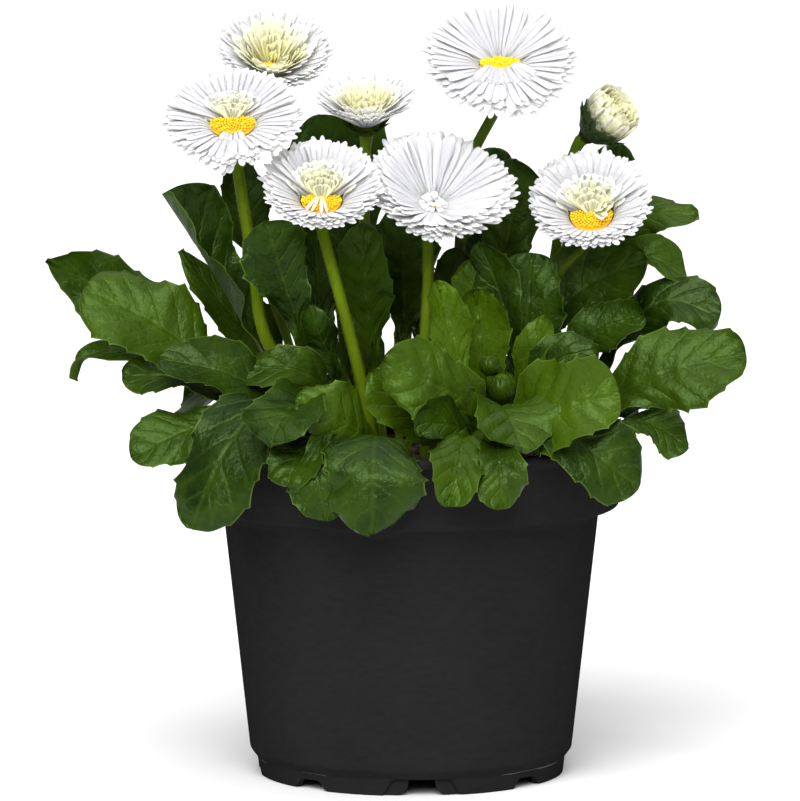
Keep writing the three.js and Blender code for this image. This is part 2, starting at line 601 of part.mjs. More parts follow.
// One ray: a blade of three sides that runs from a point in the receptacle, through its
// widest section, to a narrow end. Its middle line is an arc in an upright plane.
function raySolid(bloom, row, place, azimuth) {
  const size = bloom.radius;
  const rise = bloom.rise + bloom.back * Math.cos(azimuth);
  const start = radians(row.root + rise);
  const stop = radians(row.tip + rise);
  const outward = new THREE.Vector3(Math.cos(azimuth), Math.sin(azimuth), 0);
  const sideways = new THREE.Vector3(-Math.sin(azimuth), Math.cos(azimuth), 0);
  const atFront = Math.cos(azimuth) < FRONT_SPAN && bloom.disc > 0;
  const clear = bloom.disc + FRONT_CLEARANCE;
  const rootRadius = atFront ? Math.max(row.radius, clear) : row.radius;
  const at = (share) => {
    const bend = ((stop - start) * share) / 2;
    const chord = row.length * share * (bend === 0 ? 1 : Math.sin(bend) / bend);
    return {
      reach: (rootRadius + chord * Math.cos(start + bend)) * size,
      height: (row.height + chord * Math.sin(start + bend)) * size,
    };
  };
  const point = ({ reach, height }, across, drop) => outward.clone().multiplyScalar(reach)
    .addScaledVector(sideways, across).setZ(height - drop);
  const root = {
    reach: (atFront ? clear : Math.max(0.03, row.radius - RAY_SINK)) * size,
    height: (RAY_ROOT_LOW + RAY_ROOT_STEP * place) * size,
  };
  const half = (RAY_WIDTH * size) / 2;
  const middle = at(RAY_WIDEST);
  const tip = at(1);
  const points = [
    point(root, 0, 0),
    point(middle, -half, 0), point(middle, half, 0), point(middle, 0, RAY_THICKNESS),
    point(tip, -RAY_TIP * half, RAY_TIP_DROP), point(tip, RAY_TIP * half, RAY_TIP_DROP),
  ];
  const triangles = [0, 1, 2, 0, 2, 3, 0, 3, 1, 1, 4, 5, 1, 5, 2, 2, 5, 3, 3, 4, 1, 3, 5, 4];
  return facingOut(points.flatMap((p) => p.toArray()), triangles);
}

// The receptacle, a low button that all rays of a bloom are rooted in
function receptacle({ radius, disc }) {
  const wide = Math.max(0.3, disc + 0.15) * radius;
  const profile = [[0, -0.18 * radius], [wide, -0.1 * radius], [wide - 0.04 * radius, -0.03 * radius],
    [0, -0.02 * radius]];
  return solidOf(lathe(profile, RECEPTACLE_SIDES));
}

function buildRays(bloom, rows) {
  const solids = [receptacle(bloom)];
  rows.forEach((row, place) => {
    const stretch = (2 * row.reach) / (row.reach === 180 ? row.count : row.count - 1);
    for (let i = 0; i < row.count; i += 1) {
      const azimuth = -row.reach + stretch * (i + (row.reach === 180 ? 0.5 * (place % 2) : 0));
      solids.push(raySolid(bloom, row, place, radians(azimuth)));
    }
  });
  return join(solids).transform(bloomFrame(bloom).elements);
}

// Disc florets stand on the front half of the receptacle, in front of the cream rays
function buildDisc(bloom) {
  const size = bloom.radius;
  const wide = bloom.disc * size;
  const base = GAP - 0.02 * size;
  const dome = [[0, base], [wide, base], [0.7 * wide, base + 0.28 * wide], [0, base + 0.4 * wide]];
  const solids = [solidOf(lathe(dome, RECEPTACLE_SIDES))];
  for (let i = 0; i < FLORETS; i += 1) {
    const reach = wide * 0.76 * Math.sqrt((i + 0.5) / FLORETS);
    const angle = radians(GOLDEN_ANGLE * i);
    if (Math.cos(angle) * reach > DISC_CUT * size) continue;
    const floret = new THREE.ConeGeometry(FLORET_RADIUS * size, 0.2 * wide, 4).rotateX(Math.PI / 2);
    const height = base + 0.42 * wide * (1 - (reach / wide) ** 2);
    floret.translate(reach * Math.cos(angle), reach * Math.sin(angle), height);
    solids.push(solidOf(floret));
  }
  const behind = new THREE.BoxGeometry(size, 2 * size, size);
  behind.translate((0.5 + DISC_CUT) * size, 0, 0);
  return join(solids).subtract(solidOf(behind)).transform(bloomFrame(bloom).elements);
}

// The green cup of bracts under a bloom, in the bloom's frame
function cupSolid({ radius }, bract) {
  const profile = [[0, -0.4 * radius], [0.1 * radius, -0.4 * radius], [0.2 * radius, -0.3 * radius],
    [0.25 * radius, -0.18 * radius - GAP], [0, -0.18 * radius - GAP]];
  const solids = [solidOf(lathe(profile, BRACTS))];
  for (let i = 0; i < BRACTS; i += 1) {
    const angle = (2 * Math.PI * i) / BRACTS;
    solids.push(bractSolid(radius, angle, bract));
  }
  return join(solids);
}

// One bract: a pointed scale that leans out from the cup
function bractSolid(radius, angle, { half, tip }) {
  const outward = new THREE.Vector3(Math.cos(angle), Math.sin(angle), 0);
  const sideways = new THREE.Vector3(-Math.sin(angle), Math.cos(angle), 0);
  const at = (reach, across, height) => outward.clone().multiplyScalar(reach * radius)
    .addScaledVector(sideways, across * radius).setZ(height * radius).toArray();
  const points = [at(0.16, -half, -0.25), at(0.16, half, -0.25), at(0.12, 0, -0.36), at(...tip)];
  return solidFromArrays(points.flat(), [0, 2, 1, 0, 1, 3, 1, 2, 3, 2, 0, 3]);
}

// A round stem along a path
function tube(path, radius, steps) {
  const corners = [];
  for (let i = 0; i < STEM_SIDES; i += 1) {
    const angle = (2 * Math.PI * i) / STEM_SIDES;
    corners.push(new THREE.Vector2(radius * Math.cos(angle), radius * Math.sin(angle)));
  }
  const options = { steps, bevelEnabled: false, extrudePath: path };
  return solidOf(new THREE.ExtrudeGeometry(new THREE.Shape(corners), options));
}

// A stem with the cup of bracts on top of it
function buildStem(bloom, bract) {
  const [[footX, footY], ...passes] = bloom.stem;
  const frame = bloomFrame(bloom);
  const neck = new THREE.Vector3(0, 0, -NECK * bloom.radius).applyMatrix4(frame);
  const end = new THREE.Vector3(0, 0, -0.34 * bloom.radius).applyMatrix4(frame);
  const foot = new THREE.Vector3(footX, footY, STEM_FOOT);
  const clear = foot.clone().setZ(STEM_FOOT + STEM_UPRIGHT);
  const passed = [foot, clear, ...passes.map(vector), neck, end];
  const path = new THREE.CatmullRomCurve3(passed, false, 'centripetal');
  return tube(path, bloom.thick, STEM_STEPS).add(cupSolid(bloom, bract).transform(frame.elements));
}

// A closed bud on its short stalk
function buildBud({ centre, radius, foot: [footX, footY] }) {
  const ball = new THREE.SphereGeometry(radius, 8, 6).rotateX(Math.PI / 2).translate(...centre);
  const foot = new THREE.Vector3(footX, footY, CROWN_ROOT);
  const path = new THREE.LineCurve3(foot, vector(centre));
  return solidOf(ball).add(tube(path, BUD_STALK_RADIUS, 1));
}

// Assembly
const daisy = new THREE.Group();
daisy.add(meshOf('pot', buildPot(), POT_FINISH));
daisy.add(meshOf('soil', buildSoil(), SOIL_FINISH));
for (const [name, solid] of Object.entries(buildRosettes())) {
  daisy.add(meshOf(`leaves_${name}`, solid, LEAF_FINISH));
}
for (const [name, bloom] of Object.entries(BLOOMS)) {
  daisy.add(meshOf(`stem_${name}`, buildStem(bloom, SPREAD_BRACT), STEM_FINISH));
  daisy.add(meshOf(`rays_${name}`, buildRays(bloom, RAY_ROWS), RAY_FINISH));
  if (bloom.disc > 0) daisy.add(meshOf(`disc_${name}`, buildDisc(bloom), DISC_FINISH));
}
daisy.add(meshOf('stem_half_open', buildStem(HALF_OPEN, STEEP_BRACT), STEM_FINISH));
daisy.add(meshOf('rays_half_open', buildRays(HALF_OPEN, HALF_OPEN_ROWS), RAY_FINISH));

export default daisy;
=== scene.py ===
"""Potted double common daisy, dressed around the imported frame.

Lengths in the tables and methods are millimetres, and MM turns them into Blender's metres when
a mesh is made. +X points to the viewer's right, +Y away from the viewer and +Z up.
"""

import logging
import math
from dataclasses import dataclass, field, replace
from enum import Enum
from typing import Any, Callable

import bpy
import numpy as np
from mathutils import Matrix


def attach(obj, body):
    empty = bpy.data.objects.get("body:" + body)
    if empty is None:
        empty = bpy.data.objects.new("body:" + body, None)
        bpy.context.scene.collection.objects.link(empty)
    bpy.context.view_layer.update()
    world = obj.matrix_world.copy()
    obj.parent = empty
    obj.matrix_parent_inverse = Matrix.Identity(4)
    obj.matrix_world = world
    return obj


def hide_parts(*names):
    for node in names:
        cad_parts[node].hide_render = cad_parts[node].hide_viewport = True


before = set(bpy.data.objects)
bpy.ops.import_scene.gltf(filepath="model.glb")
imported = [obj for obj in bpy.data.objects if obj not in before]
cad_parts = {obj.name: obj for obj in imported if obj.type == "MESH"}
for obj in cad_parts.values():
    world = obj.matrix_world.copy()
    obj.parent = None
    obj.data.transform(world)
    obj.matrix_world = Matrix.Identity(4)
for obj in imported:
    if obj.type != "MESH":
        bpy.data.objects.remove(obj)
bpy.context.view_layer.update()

MM = 0.001
Array = np.ndarray
Pair = tuple[float, float]
Point = tuple[float, float, float]
LOG = logging.getLogger("daisy")


class Slot(Enum):
    """The record's material slots."""

    POT = "pot"
    SOIL = "soil"
    LEAF = "leaf"
    STEM = "stem"
    RAY = "ray"
    DISC = "disc"


# Vectors, curves and turned points

def unit(vectors: Array) -> Array:
    """Scales vectors to length one."""
    return vectors / np.maximum(np.linalg.norm(vectors, axis=-1, keepdims=True), 1e-9)


def dot(first: Array, second: Array) -> Array:
    """Inner products along the last axis, which is kept."""
    return np.sum(first * second, axis=-1, keepdims=True)


def smooth(low: float, high: float, values: Array) -> Array:
    """Rises from 0 at low to 1 at high along 3t² − 2t³."""
    t = np.clip((values - low) / (high - low), 0, 1)
    return t * t * (3 - 2 * t)


def circle(count: int) -> Array:
    """The angles of a whole turn, in equal steps."""
    return np.linspace(0, 2 * np.pi, count, endpoint=False)


def turned(radius: Any, azimuth: Array, height: Any) -> Array:
    """Points at a radius, an azimuth and a height about the upright axis."""
    x, y = radius * np.cos(azimuth), radius * np.sin(azimuth)
    return np.stack(np.broadcast_arrays(x, y, height), -1)


def lathe(profile: Any, count: int) -> Array:
    """Turns a profile of radii and heights about the upright axis, into rings of points."""
    radius, height = np.array(profile).T[..., None]
    return turned(radius, circle(count), height)


def swung(points: Array, angles: Array) -> Array:
    """Turns points about the upright axis."""
    c, s, (x, y, z) = np.cos(angles), np.sin(angles), np.moveaxis(points, -1, 0)
    return np.stack(np.broadcast_arrays(c * x - s * y, s * x + c * y, z), -1)


@dataclass(frozen=True)
class ThroughCurve:
    """A smooth line through points.

    Each stretch is a Hermite cubic as long as its chord: it leaves along the line from the
    point before to the point after it, and arrives likewise. The share runs along the chords.
    """

    points: Array

    def at(self, shares: Array) -> Array:
        """Works out points on the line.

        Args:
            shares: how far along the chords each point lies, 0 to 1.

        Returns:
            One point for each share.
        """
        p = self.points
        chords = np.linalg.norm(np.diff(p, axis=0), axis=1)
        knots = np.concatenate([[0.0], np.cumsum(chords)])
        padded = np.vstack([2 * p[0] - p[1], p, 2 * p[-1] - p[-2]])
        reached = np.asarray(shares) * knots[-1]
        k = np.clip(np.searchsorted(knots, reached, side="right") - 1, 0, len(p) - 2)
        chord = chords[k][:, None]
        t = (reached - knots[k])[:, None] / chord
        leave = unit(padded[k + 2] - padded[k]) * chord
        arrive = unit(padded[k + 3] - padded[k + 1]) * chord
        return ((2 * t**3 - 3 * t**2 + 1) * p[k] + (t**3 - 2 * t**2 + t) * leave
                + (3 * t**2 - 2 * t**3) * p[k + 1] + (t**3 - t**2) * arrive)

    def heading(self, shares: Array, step: float = 0.02) -> Array:
        """Directions of the line, taken over a short step on both sides."""
        ahead = self.at(np.minimum(1, np.asarray(shares) + step))
        return unit(ahead - self.at(np.maximum(0, np.asarray(shares) - step)))


# Meshes

def quads(rows: int, ring: int, over: bool = False, around: bool = True) -> Array:
    """Quads between the neighbours in a grid of points.

    Args:
        rows: how many rows it has.
        ring: how many points a row has.
        over: whether the last row joins the first.
        around: whether each row closes to a ring.

    Returns:
        Corner numbers, (faces, 4).
    """
    i, j = np.meshgrid(np.arange(rows - 1 + over), np.arange(ring - 1 + around), indexing="ij")
    a, b = i * ring + j, i * ring + (j + 1) % ring
    c, d = (i + 1) % rows * ring + (j + 1) % ring, (i + 1) % rows * ring + j
    return np.stack([a, b, c, d], -1).reshape(-1, 4)


def tube_faces(rows: int, ring: int) -> list[Array]:
    """Faces of a tube of closed rings: quads between the rings and one polygon on each end."""
    first = np.arange(ring)
    return [quads(rows, ring), np.array([first[::-1], (rows - 1) * ring + first])]


def torus_faces(rows: int, ring: int) -> list[Array]:
    """Faces of a body that closes on itself both ways, as a turned wall does."""
    return [quads(rows, ring, over=True)]


def half_dome_faces(rows: int, columns: int) -> list[Array]:
    """Faces of half a dome whose rows run over the top and back below, and its two ends."""
    first = np.arange(rows) * columns
    return [quads(rows, columns, True, False), np.array([first[::-1], first + columns - 1])]


SPIKE_FACES = [np.array([[0, 2, 1], [0, 1, 3], [1, 2, 3], [2, 0, 3]])]


def signed_volumes(points: Array, faces: list[Array]) -> Array:
    """Adds up the tetrahedra between the origin and a fan of triangles over each face.

    Args:
        points: corners of the shapes, (shapes, corners, 3).
        faces: corner numbers of their faces.

    Returns:
        Six times each shape's volume, below zero where its faces look inwards.
    """
    total = np.zeros(len(points))
    for polygons in faces:
        for k in range(1, polygons.shape[1] - 1):
            a, b, c = (points[:, polygons[:, m]] for m in (0, k, k + 1))
            total += np.sum(a * np.cross(b, c), axis=(1, 2))
    return total


class MeshBatch:
    """Collects closed shapes with point values and makes one object of them."""

    def __init__(self, rng: np.random.Generator | None = None) -> None:
        """Starts with nothing in it.

        Args:
            rng: source of its shapes' small differences, where they have any.
        """
        self.rng = rng
        self.points: list[Array] = []
        self.polygons: list[Array] = []
        self.values: list[dict[str, Array]] = []
        self.count = 0

    def add(self, points: Array, faces: list[Array], **values: Any) -> None:
        """Adds shapes that share their faces, each turned so that its faces look outwards.

        Args:
            points: corner points, (shapes, corners, 3), or (corners, 3) for one shape.
            faces: corner numbers of the faces, one array for each number of corners.
            values: point values by name, each of a shape that spreads to (shapes, corners).
        """
        points = points.reshape((-1,) + points.shape[-2:])
        shapes, corners = points.shape[:2]
        inward = signed_volumes(points - points.mean(axis=1, keepdims=True), faces) < 0
        starts = self.count + corners * np.arange(shapes)
        for polygons in faces:
            for way, chosen in ((polygons, ~inward), (polygons[:, ::-1], inward)):
                numbers = way[None] + starts[chosen][:, None, None]
                self.polygons.append(numbers.reshape(-1, polygons.shape[1]))
        self.points.append(points.reshape(-1, 3))
        spread = {name: np.broadcast_to(value, (shapes, corners)).ravel()
                  for name, value in values.items()}
        self.values.append(spread | {"": np.zeros(shapes * corners)})
        self.count += shapes * corners

    def add_tubes(self, grids: Array, **values: Any) -> None:
        """Adds one tube or many, each a grid of rings of points, (rows, ring, 3)."""
        rows, ring = grids.shape[-3:-1]
        self.add(grids.reshape(-1, rows * ring, 3), tube_faces(rows, ring), **values)

    def sprout(self, grid: Array, count: int, length: float, thick: float,
               **values: float) -> None:
        """Grows hairs on a tube, each a three-sided spike that leans away from the tube.

        Args:
            grid: the tube's points, (rows, ring, 3).
            count: how many hairs.
            length: their mean length.
            thick: half the width of a hair at its foot.
            values: point values for all of the hairs.
        """
        rng, middle = self.rng, grid.mean(axis=1)
        i = rng.integers(0, grid.shape[0] - 1, count)
        j = rng.integers(0, grid.shape[1], count)
        t = rng.random(count)[:, None]
        foot = grid[i, j] * (1 - t) + grid[i + 1, j] * t
        away = unit(foot - (middle[i] * (1 - t) + middle[i + 1] * t))
        size = length * rng.uniform(0.6, 1.3, count)
        way = unit(away + rng.normal(0, 0.35, away.shape))
        first = unit(np.cross(way, rng.normal(0, 1, away.shape)))
        second = np.cross(way, first)
        turn = circle(3)[:, None]
        ring = (first[:, None] * np.cos(turn) + second[:, None] * np.sin(turn)) * thick
        tip = (foot + way * size[:, None])[:, None]
        self.add(np.concatenate([foot[:, None] - 0.1 * way[:, None] + ring, tip], axis=1),
                 SPIKE_FACES, hair=1.0, **values)

    def make(self, name: str, sharp: float = 180.0) -> bpy.types.Object:
        """Makes a smooth object, in metres, at the origin.

        Args:
            name: the object's name.
            sharp: the bend in degrees from which on an edge shades as an edge.

        Returns:
            The object, linked to the scene, with its point values.
        """
        mesh = bpy.data.meshes.new(name)
        points = np.concatenate(self.points) * MM
        used = [polygons for polygons in self.polygons if len(polygons)]
        corners = np.concatenate([polygons.ravel() for polygons in used]).astype(np.int32)
        totals = np.concatenate([np.full(len(p), p.shape[1], np.int32) for p in used])
        mesh.vertices.add(len(points))
        mesh.vertices.foreach_set("co", points.astype(np.float32).ravel())
        mesh.loops.add(len(corners))
        mesh.loops.foreach_set("vertex_index", corners)
        mesh.polygons.add(len(totals))
        mesh.polygons.foreach_set("loop_start", np.cumsum(totals) - totals)
        mesh.polygons.foreach_set("loop_total", totals)
        mesh.polygons.foreach_set("use_smooth", np.ones(len(totals), bool))
        for value in sorted({key for chunk in self.values for key in chunk if key}):
            column = np.concatenate([chunk.get(value, chunk[""]) for chunk in self.values])
            attribute = mesh.attributes.new(value, "FLOAT", "POINT")
            attribute.data.foreach_set("value", column.astype(np.float32))
        mesh.update(calc_edges=True)
        mesh.validate()
        if sharp < 180.0:
            mesh.set_sharp_from_angle(angle=math.radians(sharp))
        made = bpy.data.objects.new(name, mesh)
        bpy.context.scene.collection.objects.link(made)
        return made


# Shader sockets

def operator(operation: str) -> Callable[..., "Socket"]:
    """Makes a method of Socket.

    Args:
        operation: the Math node's operation.

    Returns:
        The method, which joins the socket and another value by that node.
    """
    def method(self: "Socket", other: Any = 0.0) -> "Socket":
        """One Math node."""
        return self.kit.math(operation, self, other)
    return method


class Socket:
    """One output of a shader node, with Python's operators as Math nodes."""

    def __init__(self, kit: "NodeKit", output: bpy.types.NodeSocket | None) -> None:
        self.kit, self.output = kit, output

    __add__ = __radd__ = operator("ADD")
    __mul__ = __rmul__ = operator("MULTIPLY")
    __sub__, __truediv__, __pow__ = operator("SUBTRACT"), operator("DIVIDE"), operator("POWER")
    __abs__, part = operator("ABSOLUTE"), operator("FRACT")

    def __rsub__(self, other: float) -> "Socket":
        """Subtracts from a number."""
        return self.kit.math("SUBTRACT", other, self)

    def clip(self) -> "Socket":
        """Keeps the value between 0 and 1."""
        return self.kit.math("MAXIMUM", self.kit.math("MINIMUM", self, 1.0), 0.0)

    def ridge(self, middle: float, reach: float) -> "Socket":
        """1 where the value is middle, falling to 0 at reach from it."""
        return (1.0 - abs(self - middle) / reach).clip()


class NodeKit:
    """The nodes of one material; sizes and depths are millimetres."""

    def __init__(self, name: str) -> None:
        """Makes an empty material.

        Args:
            name: the material's name.
        """
        self.material = bpy.data.materials.new(name)
        self.material.use_nodes = True
        self.tree = self.material.node_tree
        self.tree.nodes.clear()
        self.places: dict[Point, Socket] = {}

    def node(self, kind: str, sockets: dict[Any, Any], out: Any = 0, **settings: Any) -> Socket:
        """Adds a node.

        Args:
            kind: the node's type, without its ShaderNode beginning.
            sockets: values or links for its inputs, by name or number.
            out: name or number of the output that is wanted.
            settings: what the node is set to before its inputs.

        Returns:
            The wanted output.
        """
        made = self.tree.nodes.new("ShaderNode" + kind)
        for name, value in settings.items():
            setattr(made, name, value)
        for key, value in sockets.items():
            if isinstance(value, Socket):
                self.tree.links.new(value.output, made.inputs[key])
            else:
                made.inputs[key].default_value = value
        return Socket(self, made.outputs[out] if len(made.outputs) else None)

    def math(self, operation: str, first: Any, second: Any = 0.0) -> Socket:
        """A Math node on sockets or numbers."""
        return self.node("Math", {0: first, 1: second}, operation=operation)

    def value(self, name: str) -> Socket:
        """A point value that the mesh carries."""
        return self.node("Attribute", {}, "Fac", attribute_name=name, attribute_type="GEOMETRY")

    def place(self, scale: Point) -> Socket:
        """Finds the object coordinates, which are made once for each scale.

        Args:
            scale: what each axis is multiplied by.

        Returns:
            The coordinates.
        """
        if scale not in self.places:
            full = tuple(s / MM for s in scale)
            source = self.node("TexCoord", {}, "Object")
            self.places[scale] = self.node("Mapping", {"Vector": source, "Scale": full})
        return self.places[scale]

    def noise(self, size: float, detail: float = 3.0, rough: float = 0.55,
              scale: Point = (1.0, 1.0, 1.0)) -> Socket:
        """Cloudy noise around 0.5, its blotches about size wide, drawn out by the scale."""
        return self.node("TexNoise", {"Vector": self.place(scale), "Scale": 1 / size,
                                      "Detail": detail, "Roughness": rough})

    def cracks(self, size: float) -> Socket:
        """Distance to the seams between cells about size wide."""
        return self.node("TexVoronoi", {"Vector": self.place((1.0, 1.0, 1.0)), "Scale": 1 / size},
                         "Distance", feature="DISTANCE_TO_EDGE")

    def mix(self, share: Any, first: Any, second: Any) -> Socket:
        """Blends two colours, each a socket or three numbers."""
        full = [(*c, 1.0) if isinstance(c, tuple) else c for c in (first, second)]
        return self.node("Mix", {0: share, 6: full[0], 7: full[1]}, 2, data_type="RGBA")

    def layers(self, colour: Any, *coats: tuple[Any, Any]) -> Socket:
        """Lays coats over a colour.

        Args:
            colour: the colour at the bottom.
            coats: the share and the colour of each coat, from below.

        Returns:
            The colour of all of them.
        """
        for share, coat in coats:
            colour = self.mix(share, colour, coat)
        return colour

    def bump(self, height: Socket, depth: float, strength: float = 1.0) -> Socket:
        """Normals of a relief of that depth."""
        return self.node("Bump", {"Height": height, "Distance": depth * MM, "Strength": strength})

    def surface(self, **sockets: Any) -> bpy.types.Material:
        """Ends the material with the shader.

        Args:
            sockets: the shader's inputs, named with _ for a space.

        Returns:
            The material.
        """
        named = {key.replace("_", " "): value for key, value in sockets.items()}
        self.node("OutputMaterial", {"Surface": self.node("BsdfPrincipled", named)})
        return self.material


# Finishes

@dataclass(frozen=True)
class PotPlastic:
    """Near-black polypropylene, satin, with scratches that run round it from the mould, and a pale line
    along the foot ledge that is partly scuffing and partly a painted highlight.
    """

    colour: Point = (0.0128, 0.0128, 0.0132)
    worn: Point = (0.0192, 0.0192, 0.0197)
    scuff_and_highlight: Point = (0.16, 0.16, 0.16)

    def material(self) -> bpy.types.Material:
        """Builds the plastic's nodes.

        Returns:
            The material.
        """
        kit = NodeKit("pot_plastic")
        clouds, grain = kit.noise(22.0, 4.0), kit.noise(0.45, 2.0)
        rings = kit.noise(0.35, 3.0, 0.7, (0.02, 0.02, 1.0))
        dust = kit.noise(1.3, 5.0, 0.7, (0.35, 0.35, 1.0))
        wear = ((dust - 0.5) * 1.3 + clouds * 0.8).clip()
        # Pale patches along the foot ledge: partly scuffing, partly a painted highlight on the edge.
        scuff_and_highlight_share = kit.value("ledge") ** 14.0 * ((clouds - 0.47) * 9.0).clip()
        colour = kit.layers(self.colour, (wear, self.worn), (scuff_and_highlight_share, self.scuff_and_highlight))
        rough = 0.4 + clouds * 0.12 + (rings - 0.5) * 0.2
        relief = rings * 0.4 + grain * 0.4
        return kit.surface(Base_Color=colour, Roughness=rough, Specular_IOR_Level=0.0,
                           Normal=kit.bump(relief, 0.04, 0.5))


@dataclass(frozen=True)
class Compost:
    """Dark, moist peat with lighter fibres."""

    dark: Point = (0.014, 0.008, 0.005)
    light: Point = (0.075, 0.045, 0.026)

    def material(self) -> bpy.types.Material:
        """Builds the compost's nodes.

        Returns:
            The material.
        """
        kit = NodeKit("compost")
        lumps = kit.noise(2.6, 6.0, 0.7)
        fibres = kit.noise(0.9, 4.0, 0.7, (1.0, 0.25, 1.0))
        share = ((lumps - 0.42) * 3.0 + (fibres - 0.5) * 1.4).clip()
        colour = kit.mix(share, self.dark, self.light)
        return kit.surface(Base_Color=colour, Roughness=0.78 + lumps * 0.3,
                           Normal=kit.bump(lumps + fibres * 0.6, 0.8))


@dataclass(frozen=True)
class LeafTissue:
    """Soft leaf: darker between its veins, pale at the veins, margin and under side."""

    dark: Point = (0.0035, 0.0115, 0.0004)
    middle: Point = (0.0175, 0.041, 0.0008)
    young: Point = (0.08, 0.15, 0.002)
    stalk: Point = (0.06, 0.11, 0.004)
    vein: Point = (0.05, 0.09, 0.006)
    edge: Point = (0.09, 0.15, 0.02)
    under: Point = (0.028, 0.058, 0.006)

    def material(self) -> bpy.types.Material:
        """Builds the leaf's nodes from the values that each blade carries.

        Returns:
            The material.
        """
        kit = NodeKit("leaf_tissue")
        blade, across, tone = kit.value("blade"), kit.value("across"), kit.value("tone")
        young, under, stalk = kit.value("young"), kit.value("under"), kit.value("stalk")
        out, clouds, mottle = abs(across), kit.noise(9.0), kit.noise(1.6, 4.0, 0.6)
        bent = blade * 7.0 - out * 1.7 + (mottle - 0.5) * 0.35
        side_veins = bent.part().ridge(0.5, 0.13) * (1.0 - out ** 3.0)
        midrib = out.ridge(0.0, 0.09)
        net = (1.0 - kit.cracks(1.7) * 7.0).clip()
        veins = (midrib + side_veins * 0.75 + net * 0.16).clip()
        fresh = (young + (clouds - 0.5) * young * 0.6).clip()
        share = (tone * 0.75 + (clouds - 0.5) * 2.6 + (mottle - 0.5) * 0.6
                 + (blade - 0.3).clip() * 0.4 - 0.05).clip()
        colour = kit.layers(
            self.dark, (share, self.middle), (fresh, self.young), (veins * 0.22, self.vein),
            (out.ridge(1.0, 0.04) * 0.7, self.edge), (under * 0.6, self.under), (stalk, self.stalk))
        rough = 0.2 + clouds * 0.2 + mottle * 0.1 + under * 0.15 + stalk * 0.1
        relief = mottle * 0.25 - veins * 0.45 + clouds * 2.3
        return kit.surface(Base_Color=colour, Roughness=rough, Specular_IOR_Level=0.3,
                           Specular_Tint=(0.62, 1.0, 0.36, 1.0),
                           Normal=kit.bump(relief, 0.6, 0.8))


@dataclass(frozen=True)
class StemTissue:
    """Hairy stem, yellow-green with darker streaks; its bracts are dark green scales."""

    light: Point = (0.115, 0.185, 0.002)
    dark: Point = (0.035, 0.062, 0.002)
    bract: Point = (0.017, 0.038, 0.004)
    hair: Point = (0.2, 0.26, 0.06)

    def material(self) -> bpy.types.Material:
        """Builds the stem's nodes; shade darkens a stem and scale marks a bract.

        Returns:
            The material.
        """
        kit = NodeKit("stem_tissue")
        streaks, clouds = kit.noise(0.5, 3.0, 0.6, (1.0, 1.0, 0.08)), kit.noise(7.0)
        shade, scale, hair = kit.value("shade"), kit.value("scale"), kit.value("hair")
        share = (shade + (streaks - 0.5) * 0.9 + (clouds - 0.5) * 0.7).clip()
        colour = kit.layers(
            self.light, (share, self.dark), (scale, self.bract), (hair, self.hair))
        relief = streaks * 0.8 + clouds * 0.2
        return kit.surface(Base_Color=colour, Roughness=0.5 + streaks * 0.12,
                           Specular_IOR_Level=0.15, Specular_Tint=(0.8, 1.0, 0.5, 1.0),
                           Normal=kit.bump(relief, 0.2, 0.8))


@dataclass(frozen=True)
class RayTissue:
    """Matt white ray, cream where it is young, with fine ribs along it."""

    white: Point = (0.875, 0.875, 0.87)
    cream: Point = (0.9, 0.87, 0.4)
    root: Point = (0.82, 0.84, 0.62)
    green: Point = (0.02, 0.035, 0.006)

    def material(self) -> bpy.types.Material:
        """Builds the ray's nodes; cream, foot, along and across are carried by each ray.

        Returns:
            The material.
        """
        kit = NodeKit("ray_tissue")
        cream, along, across = kit.value("cream"), kit.value("along"), kit.value("across")
        mottle = kit.noise(1.5)
        foot = (kit.value("foot") * (2.4 - along * 2.8 + (mottle - 0.5) * 1.5)).clip()
        colour = kit.layers(
            self.white, ((cream + (mottle - 0.5) * cream * 0.5).clip(), self.cream),
            ((1.0 - along * 4.0).clip() * 0.4, self.root), (foot, self.green))
        ribs = (across * 2.5).part().ridge(0.5, 0.5)
        return kit.surface(Base_Color=colour, Roughness=0.55 + mottle * 0.15,
                           Specular_IOR_Level=0.25, Subsurface_Weight=0.8,
                           Subsurface_Radius=(1.0, 1.0, 0.85), Subsurface_Scale=0.9 * MM,
                           Normal=kit.bump(ribs * 0.6 + mottle * 0.3, 0.03, 0.3))


@dataclass(frozen=True)
class DiscTissue:
    """Golden florets, mealy, with deeper orange painted low between them as shade."""

    gold: Point = (0.9, 0.62, 0.012)
    painted_shade_orange: Point = (0.78, 0.36, 0.004)

    def material(self) -> bpy.types.Material:
        """Builds the florets' nodes; up is how far a point is up its floret.

        Returns:
            The material.
        """
        kit = NodeKit("disc_tissue")
        meal = kit.noise(0.35, 3.0, 0.6)
        # Deeper orange low on each floret and on the dome between them is painted shade.
        share = (kit.value("up") * 1.2 + (meal - 0.5) * 0.8).clip()
        colour = kit.mix(share, self.painted_shade_orange, self.gold)
        return kit.surface(Base_Color=colour, Roughness=0.62 + meal * 0.2,
                           Normal=kit.bump(meal, 0.12, 0.8))


